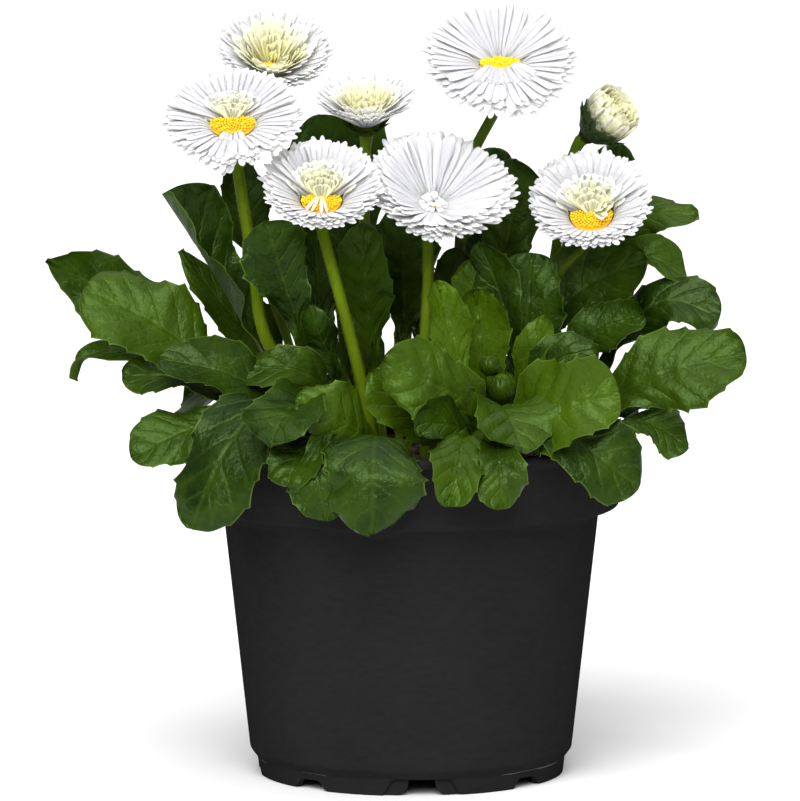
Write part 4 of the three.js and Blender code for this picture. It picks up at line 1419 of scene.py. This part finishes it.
    def add_tuft(self, batch: MeshBatch, tuft: Tuft) -> None:
        """Adds a tuft of young rays.

        Ray i is rooted 137.5° times i round the tuft's middle, at the square root of i out of
        it, and leans outwards the more the further out it is rooted.

        Args:
            batch: the mesh that takes the rays.
            tuft: the tuft.
        """
        rng, n = batch.rng, tuft.count
        far = np.sqrt((np.arange(n) + 0.5) / n)
        about = GOLDEN_ANGLE * np.arange(n)
        x, y = far * np.cos(about), far * np.sin(about)
        rim = 0.5 * (tuft.shallow * (1 + x) + tuft.front * (1 - x))
        lean = tuft.steep + (rim - tuft.steep) * far**1.3
        first = np.radians(lean + self.back * x + rng.normal(0, 3, n))
        last = first - np.radians(tuft.hook + rng.normal(0, 5, n))
        length = tuft.length * (0.86 + 0.14 * far) * (1 + rng.normal(0, 0.06, n))
        out, up, slope = ray_arc(first, last, length)
        azimuth = (np.arctan2(y, x) + rng.normal(0, 0.12, n))[:, None] + 0 * slope
        root = np.stack([tuft.x + tuft.half_x * x, tuft.y + tuft.half_y * y, 0 * x - 0.06], -1)
        self.add_rays(batch, root[:, None] + turned(out, azimuth, up), azimuth, slope, tuft)

    def add_disc(self, batch: MeshBatch) -> None:
        """Adds the disc: a low dome with florets on a spiral over its front half.

        Floret i stands at 137.5° times i and at the square root of i from the middle, so all
        have the same room. Each is a small five-sided column that leans out, swells and narrows.

        Args:
            batch: the mesh that takes it.
        """
        rng, size, wide = batch.rng, self.radius, self.disc * self.radius
        base = 0.3 - 0.02 * size
        turn = np.linspace(0.5 * np.pi, 1.5 * np.pi, 25)[None]
        out = np.array([1.0, 0.96, 0.8, 0.55, 0.3, 0.08])[:, None]
        top = base + self.dome * wide * (1 - out**2)
        shape = turned(out * wide, turn, np.maximum(top, base)) - (0.05 * size, 0, 0)
        under = shape[::-1].copy()
        under[..., 2] = base - 0.12
        dome = np.concatenate([shape, under])
        batch.add(self.placed(dome.reshape(-1, 3)), half_dome_faces(*dome.shape[:2]), up=0.1)
        i = np.arange(self.florets) + 0.5
        far = wide * 0.97 * np.sqrt(i / self.florets)
        about = GOLDEN_ANGLE * np.arange(self.florets)
        x, y = far * np.cos(about), far * np.sin(about)
        keep = x < -0.03 * size
        x, y, far = x[keep], y[keep], far[keep]
        n = len(x)
        foot = base + self.dome * wide * (1 - (far / wide) ** 2)
        levels = np.array([-0.25, 0.3, 0.7, 1.0])
        girth = np.array([0.55, 0.75, 1.0, 0.3])
        tall = rng.uniform(0.75, 1.25, n) * 0.055 * size
        thick = rng.uniform(0.85, 1.15, n) * 0.024 * size
        height = tall[:, None] * levels
        spot = np.stack([x, y, foot], -1)[:, None]
        lean = np.stack([x / wide * 0.5, y / wide * 0.5, 0 * x + 1], -1)[:, None]
        middle = spot + lean * height[..., None]
        ring = turned((girth * thick[:, None])[..., None], circle(5), 0.0)
        batch.add_tubes(self.placed(middle[:, :, None] + ring),
                        up=np.repeat(levels.clip(0, 1), 5)[None])

    def stem_line(self) -> ThroughCurve:
        """Draws the stem's middle line, from the compost through its passes to the cup.

        Returns:
            The line.
        """
        below = self.placed(np.array([[0, 0, -0.58], [0, 0, -0.34]]) * self.depth * self.radius)
        foot = [(*self.foot, 79.0), (*self.foot, 85.0)]
        return ThroughCurve(np.vstack([np.array(foot), np.array(self.passes, float), below]))

    def add_stem(self, batch: MeshBatch) -> None:
        """Adds the stem with its ribs and hairs, and the cup of bracts on top of it.

        The stem is a round of 14 points carried along its line, with five low ribs.

        Args:
            batch: the mesh that takes them.
        """
        line = self.stem_line()
        share = np.linspace(0, 1, 52)
        middle, heading = line.at(share), line.heading(share)
        side = unit(np.cross(heading, np.array([0.0, 1.0, 0.1])))
        back = np.cross(heading, side)
        turn = circle(14)
        radius = self.thick * (1.05 - 0.14 * share + 0.35 * smooth(0.93, 1.0, share))[:, None]
        radius = radius * (1 + 0.05 * np.cos(5 * turn + 3 * share[:, None]))
        grid = (middle[:, None] + (radius * np.cos(turn))[..., None] * side[:, None]
                + (radius * np.sin(turn))[..., None] * back[:, None])
        shade = np.repeat(self.shade + 0.25 * (1 - smooth(0.0, 0.35, share)), 14)
        batch.add_tubes(grid, shade=shade)
        batch.sprout(grid, self.stem_hairs, 0.62, 0.03)
        self.add_cup(batch)

    def add_cup(self, batch: MeshBatch) -> None:
        """Adds the cup: a turned bowl and two whorls of bracts, each a bent, pointed scale.

        Args:
            batch: the stem's mesh.
        """
        rng = batch.rng
        wide, rim = self.button() + 0.025, 0.0025 * self.rise - 0.125
        low = self.depth
        profile = ((0.07, -0.4 * low), (0.12, -0.385 * low), (0.19, -0.31 * low),
                   (0.9 * wide, -0.2 * low), (wide, rim - 0.02), (wide - 0.015, rim), (0.05, -0.12))
        batch.add_tubes(self.placed(lathe(np.array(profile) * self.radius, 32)), scale=0.6)
        n = self.bracts
        tip_out, tip_up = self.bract_tip
        azimuth = (2 * np.pi * np.arange(n) / n + rng.normal(0, 0.03, n))[:, None]
        t = np.linspace(0, 1, 9)[None]
        whorl = (np.arange(n) % 2)[:, None] * 0.012
        stretch = rng.uniform(0.94, 1.03, n)[:, None]
        reach = 0.11 + whorl + (tip_out - 0.11) * t ** 1.1 * stretch
        rise = -0.37 * low + (tip_up + 0.37 * low) * t ** 0.75 * stretch
        half = self.bract_half * np.sin(np.pi * np.clip(0.2 + 0.8 * t, 0, 1)) ** 0.8 + 0.004
        ring_s = np.array([-1, -0.55, 0, 0.55, 1, 0.55, 0, -0.55])
        ring_t = np.array([0, 0.5, 0.7, 0.5, 0, -0.5, -0.7, -0.5]) * 0.022
        step_out, step_up = np.gradient(reach, axis=1), np.gradient(rise, axis=1)
        grow = np.hypot(step_out, step_up)
        away, up = (-step_up / grow)[..., None], (step_out / grow)[..., None]
        arch = -0.35 * half[..., None] * ring_s**2
        fade = (1 - 0.6 * t)[..., None]
        out = reach[..., None] + (ring_t * fade + arch) * away
        high = rise[..., None] + (ring_t * fade + arch) * up
        flat = np.stack(np.broadcast_arrays(out, half[..., None] * ring_s, high), -1)
        scales = self.placed(swung(flat, azimuth[..., None]) * self.radius)
        batch.add_tubes(scales, scale=1.0)
        for scale in scales:
            batch.sprout(scale, 16, 0.35, 0.025, scale=0.2)


@dataclass
class HalfOpenBloom(Bloom):
    """The half-open bloom: its rays stand packed together in a cup of steep dark scales."""

    bract_tip: Pair = (0.84, 0.4)
    bract_half: float = 0.15
    bracts: int = 14


# Studio

@dataclass
class Studio:
    """Pale floor, soft lights and the camera at the photograph's angle.

    Each light has a name, the way to it, its spread in degrees and its strength in watts a
    square metre; world is the strength of the white all round.
    """

    target: Point = (-2.92, 0.0, 99.3)
    elevation: float = 7.25
    distance: float = 2000.0
    lens: float = 338.6
    floor_half: float = 9000.0
    lights: tuple[tuple[str, Point, float, float], ...] = (
        ("key", (-0.2, -1.0, 0.9), 50, 3.85), ("fill", (0.8, -0.9, 0.7), 80, 0.4),
        ("top", (0.1, 0.1, 1.0), 70, 1.2))
    world: float = 0.2

    def camera(self) -> None:
        """Sets the camera: distance back from the target and raised by its elevation."""
        rise = math.radians(self.elevation)
        data = bpy.data.cameras.new("camera")
        data.lens, data.sensor_width, data.clip_end = self.lens, 36.0, 50.0
        camera = bpy.data.objects.new("camera", data)
        x, y, z = self.target
        camera.location = (x * MM, (y - self.distance * math.cos(rise)) * MM,
                           (z + self.distance * math.sin(rise)) * MM)
        camera.rotation_euler = (math.pi / 2 - rise, 0, 0)
        bpy.context.scene.collection.objects.link(camera)
        bpy.context.scene.camera = camera

    def light(self, name: str, towards: Point, spread: float, strength: float) -> None:
        """Adds a broad, far light, as even as a wall of soft boxes.

        Args:
            name: the light's name.
            towards: the way from the plant to the light.
            spread: how wide it looks from the plant, in degrees.
            strength: in watts a square metre.
        """
        data = bpy.data.lights.new(name, "SUN")
        data.angle, data.energy = math.radians(spread), strength
        lamp = bpy.data.objects.new(name, data)
        bpy.context.scene.collection.objects.link(lamp)
        x, y, z = towards
        lamp.rotation_euler = (math.atan2(math.hypot(x, y), z), 0, math.atan2(x, -y))

    def floor(self) -> None:
        """Lays the floor, a pale sheet with a faint grain."""
        h = self.floor_half * MM
        mesh = bpy.data.meshes.new("floor")
        mesh.from_pydata([(-h, -h, 0), (h, -h, 0), (h, h, 0), (-h, h, 0)], [], [(0, 1, 2, 3)])
        kit = NodeKit("pale_floor")
        grain = kit.noise(40.0)
        mesh.materials.append(kit.surface(
            Base_Color=kit.mix(grain, (0.93, 0.93, 0.93), (0.95, 0.95, 0.95)),
            Roughness=0.85, Specular_IOR_Level=0.1))
        sheet = bpy.data.objects.new("floor", mesh)
        bpy.context.scene.collection.objects.link(sheet)

    def build(self) -> None:
        """Sets up the studio."""
        self.camera()
        self.floor()
        for row in self.lights:
            self.light(*row)
        world = bpy.data.worlds.new("world")
        world.use_nodes = True
        colour, strength = world.node_tree.nodes["Background"].inputs[:2]
        colour.default_value, strength.default_value = (1, 1, 1, 1), self.world
        bpy.context.scene.world = world
        bpy.context.scene.view_settings.view_transform = "Standard"


# The plant's tables

CROWNS = {
    "left": Crown(-20, -6, 6), "front": Crown(-10, -27, 6.5),
    "front_right": Crown(25, -20, 7), "right": Crown(39, 3, 6.5),
    "middle": Crown(-5, 8, 6), "back_left": Crown(-16, 24, 6.5),
    "back_right": Crown(16, 22, 6.5),
}

# Each leaf: the points of its midrib, its width, its facing and its petiole
LEAVES: dict[str, tuple[Leaf, ...]] = {
    "left": (
        Leaf(((-50, 8, 106), (-76, 8, 125), (-97, 4, 136)), 22, (-0.2, -0.75, 0.6), 0.45, fold=10,
             peak=0.5, tip=0.9),
        Leaf(((-44, -14, 104), (-66, -16, 121), (-86, -14, 131)), 25, (0.1, -0.85, 0.55), 0.42, fold=12,
             peak=0.6, tip=0.42),
        Leaf(((-50, 0, 101), (-74, 0, 112), (-86, -2, 111), (-89, -3, 105)), 5, (0, -0.5, 0.8), 0.5,
             fold=20),
        Leaf(((-43, -21, 101), (-60, -21, 108), (-76, -18, 108)), 15, (0, -0.6, 0.8), 0.45, fold=12),
        Leaf(((-34, -24, 101), (-48, -28, 110), (-66, -28, 114)), 16, (0, -0.8, 0.6), 0.3, peak=0.7),
        Leaf(((-42, -8, 118), (-54, -12, 139), (-65, -14, 156)), 22, (0.75, -0.5, 0.45), 0.42, fold=42,
             peak=0.74),
        Leaf(((-38, 6, 110), (-50, 6, 124), (-61, 5, 139)), 16, (0.2, -0.8, 0.5), 0.3, fold=10, peak=0.4,
             tip=0.9),
        Leaf(((-38, 10, 130), (-44, 10, 148), (-46, 8, 163)), 14, (0, -0.9, 0.35), 0.6, fold=18),
        Leaf(((-28, -18, 116), (-33, -22, 132), (-38, -27, 150)), 18, (0.1, -0.9, 0.35), 0.5, fold=12,
             peak=0.72, tip=0.4),
        Leaf(((-22, -22, 104), (-32, -26, 111), (-46, -25, 110)), 13, (0.1, -0.9, 0.5), 0.2, fold=15),
        Leaf(((-44, -27, 98), (-60, -32, 95), (-73, -33, 88)), 17, (-0.2, -0.75, 0.6), 0.45, fold=12),
        Leaf(((-36, -36, 104), (-47, -48, 94), (-54, -52, 80), (-57, -50, 72)), 25, (-0.4, -0.85, 0.4),
             0.3, fold=-8, peak=0.58, tip=0.42),
        Leaf(((-20, -17, 110), (-24, -20, 119), (-27, -21, 127)), 9, (0, -0.9, 0.3), 0.5, fold=10),
    ),
    "front": (
        Leaf(((-26, -38, 104), (-33, -52.5, 102), (-36.5, -60.5, 95)), 19, (-0.1, -0.7, 0.7), 0.35,
             fold=10, tip=0.4),
        Leaf(((-24, -44, 95), (-29.5, -56, 91), (-32, -62, 85)), 16, (-0.1, -0.7, 0.7), 0.4, fold=8),
        Leaf(((-22, -50, 97), (-24, -62, 88), (-22, -62, 76)), 15, (-0.2, -0.9, 0.4), 0.5, fold=-6),
        Leaf(((-9, -54, 97), (-10, -66, 90), (-10, -68, 80), (-10, -66, 73)), 27, (0, -0.9, 0.45), 0.3,
             fold=-8, peak=0.5),
        Leaf(((-12, -40, 95), (-20, -46, 101), (-30, -48, 105)), 19, (0.1, -0.85, 0.5), 0.15, peak=0.55,
             tip=0.4, young=0.3),
    ),
    "front_right": (
        Leaf(((13, -34, 104), (5, -39, 109), (-8, -40, 114)), 21, (0.05, -0.9, 0.4), 0.2, peak=0.6,
             tip=0.4, young=0.25),
        Leaf(((6, -29, 96), (-2, -31, 102), (-10, -32, 111)), 17, (-0.1, -0.9, 0.4), 0.2, fold=16,
             young=0.4),
        Leaf(((13, -42, 97), (6, -47, 99), (2, -50, 96)), 13, (0, -0.85, 0.5), 0.3, fold=10),
        Leaf(((23, -34, 101), (25, -47, 102), (29, -57, 93)), 23, (0.3, -0.75, 0.6), 0.3, fold=12),
        Leaf(((31, -41, 101), (42, -50, 105), (54, -50, 107)), 25, (0.05, -0.95, 0.35), 0.3, fold=10,
             peak=0.5, tip=0.4, young=0.35),
        Leaf(((34, -26, 108), (41, -29, 115), (49, -30, 114)), 13, (0, -0.9, 0.4), 0.35, fold=12),
        Leaf(((37, -42, 100), (46, -51, 93), (59, -51, 83)), 22, (0.15, -0.85, 0.5), 0.25),
        Leaf(((14, -50, 96), (12, -62, 88), (9, -65, 80)), 16, (0, -0.9, 0.45), 0.35, fold=25),
        Leaf(((22, -52, 95), (23, -62, 88), (23, -63, 79)), 13, (0, -0.9, 0.45), 0.5, fold=15, tip=0.4),
        Leaf(((30, -6, 106), (31, -4, 124), (32, -2, 139)), 19, (0, -0.95, 0.2), 0.35, fold=10, tip=0.4),
        Leaf(((20, -20, 104), (18, -20, 118), (17, -18, 131)), 18, (0.05, -0.95, 0.15), 0.2, fold=35,
             young=0.35),
        Leaf(((29, -24, 102), (32, -25, 113), (35, -24, 125)), 10, (-0.35, -0.9, 0.1), 0.25, fold=28,
             young=0.4),
        Leaf(((14, -25, 107), (10, -25, 120), (7, -23, 134)), 12, (0.2, -0.95, 0.2), 0.35, fold=25,
             young=0.5),
        Leaf(((27, -13, 112), (24, -12, 128), (18, -12, 143)), 14, (-0.4, -0.9, 0.2), 0.35, fold=22),
        Leaf(((19, -12, 112), (17, -11, 125), (16, -10, 138)), 12, (0, -0.95, 0.2), 0.4, fold=15,
             young=0.35),
    ),
    "right": (
        Leaf(((52, -14, 101), (68, -20, 110), (88, -20, 114)), 24, (-0.1, -0.85, 0.5), 0.25, fold=12,
             tone=0.3),
        Leaf(((51, -18, 94), (62, -18, 95.5), (73, -17, 89)), 12, (0.1, -0.8, 0.5), 0.5, fold=12,
             peak=0.75),
        Leaf(((52, -4, 97), (60, -4, 99), (68, -4, 98)), 8, (0, -0.7, 0.7), 0.3, fold=10),
        Leaf(((37, 8, 117), (47, 8, 129), (63, 6, 136)), 22, (-0.1, -0.85, 0.5), 0.38, peak=0.6),
        Leaf(((48, 14, 126), (62, 14, 136), (74, 12, 130)), 11, (0, -0.7, 0.7), 0.5, fold=12),
        Leaf(((43, 0, 110), (51, -2, 119), (62, -4, 122)), 14, (0.1, -0.8, 0.55), 0.4),
        Leaf(((46, 6, 113), (52, 9, 122), (61, 10, 125)), 10, (0.1, -0.8, 0.55), 0.4),
        Leaf(((54, 8, 112), (67, 7, 125), (82, 4, 121)), 17, (-0.1, -0.8, 0.6), 0.4, fold=12),
        Leaf(((46, 24, 126), (62, 22, 146), (77, 18, 146)), 13, (0, -0.7, 0.7), 0.5, fold=12),
        Leaf(((39, 28, 126), (49, 29, 148), (57, 26, 165)), 14, (-0.2, -0.85, 0.3), 0.55, fold=12),
    ),
    "middle": (
        Leaf(((-23, 4, 116), (-25, 5, 132), (-26, 6, 147)), 14, (0, -0.9, 0.2), 0.4, fold=25),
        Leaf(((-2, 14, 116), (-2, 12, 134), (-2, 10, 151)), 18, (0, -0.95, 0.25), 0.4),
        Leaf(((-10, 0, 112), (-12, -2, 128), (-13, -4, 147)), 15, (0, -0.9, 0.3), 0.35, fold=20),
        Leaf(((9, 5, 112), (11, 4, 126), (12, 3, 140)), 14, (0, -0.95, 0.25), 0.4, fold=16),
    ),
    "back_left": (
        Leaf(((-18, 26, 134), (-22, 28, 152), (-24, 28, 173)), 20, (0, -0.95, 0.25), 0.5, fold=12),
        Leaf(((-12, 30, 134), (-13, 32, 154), (-12, 32, 176)), 15, (0, -0.95, 0.25), 0.5, fold=12),
    ),
    "back_right": (
        Leaf(((23, 20, 126), (27, 20, 146), (28, 18, 162)), 17, (0, -0.95, 0.25), 0.45, fold=10),
        Leaf(((17, 26, 130), (20, 28, 148), (23, 28, 164)), 15, (0, -0.95, 0.25), 0.55, fold=10),
    ),
}

LOW_BUDS = (
    ClosedBud((23.8, -27, 106), 3.8, (26, -21)),
    ClosedBud((20.5, -27, 112), 2.4, (22, -23)),
)

# Each row: count, radius, height, length, root angle, tip angle and reach
RAY_ROWS = (
    RayRow(46, 0.22, -0.05, 0.81, 0, -8),
    RayRow(46, 0.21, -0.04, 0.77, 1.5, -6),
    RayRow(46, 0.2, -0.03, 0.8, 3, -4),
    RayRow(46, 0.19, -0.02, 0.76, 5, -2),
    RayRow(46, 0.18, -0.01, 0.78, 7, 0),
    RayRow(44, 0.17, 0, 0.74, 9, 3),
)
CREAM_ROWS = (
    RayRow(22, 0.13, 0.04, 0.47, 13, 6, 80, cream=0.35, ahead=0.03, ragged=1.5, width=1.1),
    RayRow(18, 0.11, 0.05, 0.4, 16, 9, 68, cream=0.7, ahead=0.06, ragged=1.5, width=1.1),
    RayRow(14, 0.1, 0.065, 0.33, 20, 14, 60, cream=0.9, ahead=0.09, ragged=2, width=1.1),
    RayRow(11, 0.09, 0.08, 0.27, 25, 20, 56, cream=1.0, ahead=0.12, ragged=2, width=1.1),
    RayRow(7, 0.06, 0.09, 0.2, 32, 27, 54, cream=1.0, ahead=0.14, ragged=2, width=1.1),
)
HEART_ROWS = (
    RayRow(34, 0.19, 0.03, 0.62, 16, 11, cream=0.35, ragged=2, width=1.1),
    RayRow(30, 0.16, 0.04, 0.55, 21, 16, cream=0.65, ragged=2, width=1.1),
    RayRow(26, 0.13, 0.05, 0.47, 28, 23, cream=0.85, ragged=3, width=1.15),
    RayRow(20, 0.1, 0.06, 0.39, 37, 33, cream=1.0, ragged=3, width=1.15),
    RayRow(14, 0.07, 0.07, 0.31, 48, 46, cream=1.0, ragged=3, width=1.15),
    RayRow(8, 0.03, 0.07, 0.24, 66, 64, cream=1.0, ragged=3, width=1.15),
)
CUP_ROWS = (
    RayRow(44, 0.2, -0.03, 0.8, 2, -2),
    RayRow(44, 0.19, -0.02, 0.8, 4, 0),
    RayRow(42, 0.18, -0.01, 0.79, 7, 3),
)
HALF_OPEN_ROWS = (
    RayRow(30, 0.5, -0.05, 1.22, 60, 98, cream=0.8, width=1.3, foot=1.0),
    RayRow(28, 0.42, 0, 1.18, 66, 100, cream=0.9, width=1.3, foot=1.0),
    RayRow(24, 0.34, 0.05, 1.1, 72, 98, cream=1.0, width=1.3, foot=0.6),
    RayRow(18, 0.24, 0.1, 1.05, 78, 94, cream=1.0, width=1.3),
    RayRow(12, 0.14, 0.12, 1.0, 82, 92, cream=1.0, width=1.3),
    RayRow(6, 0.05, 0.15, 0.95, 88, 92, cream=1.0, width=1.3),
)

# Each bloom: name, centre, axis, radius, rise, back, disc, foot, passes, thick, rows and seed
BLOOMS = (
    Bloom("top_left", (-36.9, 17, 187), (0.06, -0.58, 0.78), 18, 36, 2, 0.22, (-30, 10),
          ((-40, 14, 120), (-44, 18, 155)), 1.5,
          RAY_ROWS[:5] + HEART_ROWS + (
              RayRow(7, 0.04, 0.08, 0.24, 4, -8, 42, turn=-125, cream=1.0, ragged=2),), 11,
          bract_tip=(0.42, -0.06)),
    Bloom("left", (-46.8, -14, 175.2), (-0.04, -0.57, 0.82), 18.6, 10.5, 1.5, 0.32, (-11.5, -0.5),
          ((-15, -2, 98), (-36.5, -12, 114), (-42, -12, 140)), 1.7,
          RAY_ROWS + tuple(row.shorter(0.78, 0.72) for row in CREAM_ROWS) + (
              RayRow(5, 0.22, 0.04, 0.32, -3, -14, 20, turn=177, width=0.8),), 12,
          clumps=(Clump(172, 17, -11, 0.3, 1.05),)),
    Bloom("small", (-12, 4, 173.6), (0, -0.42, 0.9), 16, 36, -4, 0, (-14.5, 11.5),
          ((-13.2, 8.5, 113), (-12.6, 5, 138)), 1.5, CUP_ROWS + HEART_ROWS, 13,
          bract_tip=(0.42, 0.04), depth=0.62),
    Bloom("front", (-23.5, -20, 155.5), (0.02, -0.61, 0.79), 17.8, 33, 4, 0.3, (-9, -14),
          ((-14, -17, 110), (-19, -18, 130)), 1.6,
          RAY_ROWS + CREAM_ROWS + (
              RayRow(4, 0.0, 0.1, 0.46, -24, -34, 24, turn=170, cream=0.6, width=0.5),), 14,
          stretch=0.95, bract_tip=(0.42, -0.02)),
    Bloom("centre", (5.9, -10, 152.7), (0.12, -0.66, 0.74), 21.5, 31, -7, 0.035, (4, -10),
          ((3.5, -9, 110), (4.5, -5, 132)), 1.6,
          RAY_ROWS + (
              RayRow(11, 0.03, 0.02, 0.18, -16, -40, 115, turn=180, ragged=4, width=0.6),
              RayRow(7, 0.0, 0.04, 0.12, 0, -40, 120, turn=175, ragged=5, width=0.6),
              RayRow(5, 0.0, 0.03, 0.12, 20, -20, 70, ragged=5)), 15,
          bract_tip=(0.42, -0.02),
          clumps=(Clump(-90, 40, -5, 0, 1.06), Clump(90, 40, 4, 0, 0.92),
                  Clump(176, 22, -15, 0.2, 0.8))),
    Bloom("top_right", (23.4, 2, 189.4), (0, -0.5, 0.87), 22, 14, 12, 0.23, (8, 10),
          ((12, 10, 120), (15, 8, 160)), 1.5,
          RAY_ROWS + (RayRow(11, 0.15, 0.08, 0.5, 0, -14, 42, turn=188),), 16, shade=0.9,
          stretch=0.94, clumps=(Clump(-33, 7, -9, -1.2), Clump(-165, 35, -12, 0, 1.05)),
          tufts=(Tuft(14, -0.4, 0.05, 0.05, 0.14, y=0.06, front=60, cream=0.0),)),
    Bloom("right", (47.6, -2, 149.8), (-0.06, -0.7, 0.71), 17.7, 32, -2, 0.32, (28, 4),
          ((33, 4, 115), (38, 3, 131)), 1.1,
          RAY_ROWS + CREAM_ROWS + (
              RayRow(7, 0.04, 0.08, 0.3, -12, -22, 32, turn=-120, cream=0.9, ragged=3),
              RayRow(6, 0.02, 0.1, 0.24, 0, -8, 34, turn=-95, cream=1.0, ragged=3)), 17,
          shade=0.8, bract_tip=(0.42, -0.02)),
    HalfOpenBloom("half_open", (48.4, 12, 170.2), (0.66, -0.4, 0.63), 9.9, 0, 0, 0, (29, 14),
                  ((36, 16, 120), (42, 14, 160)), 1.4, HALF_OPEN_ROWS, 18, ray_half=0.08,
                  shade=0.5),
)


@dataclass(frozen=True)
class BackRing:
    """A ring of leaves at the back: azimuths in degrees, then radius and height of the midrib
    at its bend, its middle and its tip."""

    count: int
    first: float
    last: float
    bend: Pair
    middle: Pair
    tip: Pair
    width: float
    variation: float = 3.0

    def leaves(self) -> list[Leaf]:
        """Lists the ring's leaves; each strays a little up and out by a sine of its place.

        Returns:
            The leaves, from the right to the left.
        """
        made = []
        for place in range(self.count):
            azimuth = math.radians(
                self.first + (self.last - self.first) * place / (self.count - 1))
            c, s = math.cos(azimuth), math.sin(azimuth)
            stray = self.variation * math.sin(7.3 * place + self.count)
            spots = ((self.bend, 0.0), (self.middle, 0.0), (self.tip, stray))
            path = tuple(((r + out) * c, (r + out) * s, z + stray) for (r, z), out in spots)
            made.append(Leaf(path, self.width + 0.6 * stray, (-0.4 * c, -0.4 * s, 0.85), 0.42,
                             fold=12))
        return made


BACK_RINGS = (
    BackRing(7, 34, 150, (34, 106), (58, 99), (70, 86), 20),
    BackRing(4, 50, 138, (30, 112), (44, 124), (57, 122), 19),
    BackRing(3, 62, 118, (36, 124), (43, 140), (50, 149), 16),
)


def rosettes() -> list[Rosette]:
    """Lists the rosettes; the leaves at the back join the two crowns at the back.

    Returns:
        The rosettes, in the crowns' order.
    """
    leaves = {name: list(LEAVES[name]) for name in CROWNS}
    places, place = {}, 1
    for name in CROWNS:
        places[name] = [place + k for k in range(len(leaves[name]))]
        place += len(leaves[name])
    for leaf in (leaf for ring in BACK_RINGS for leaf in ring.leaves()):
        name = "back_right" if leaf.path[2][0] > 0 else "back_left"
        leaves[name].append(leaf)
    behind = place
    for name in ("back_left", "back_right"):
        extra = len(leaves[name]) - len(places[name])
        places[name] += [behind + k for k in range(extra)]
        behind += extra
    return [Rosette(name, CROWNS[name], tuple(leaves[name]), tuple(places[name]),
                    LOW_BUDS if name == "front_right" else ()) for name in CROWNS]


def main() -> None:
    """Builds the studio, the pot and the plant in order, and reports each piece."""
    logging.basicConfig(level=logging.INFO, format="%(message)s")
    finishes = Finishes()
    Studio().build()
    NurseryPot().build(finishes)
    PottingCompost().build(finishes)
    for rosette in rosettes():
        rosette.build(finishes)
    for bloom in BLOOMS:
        bloom.build(finishes)


if __name__ == "__main__":
    main()
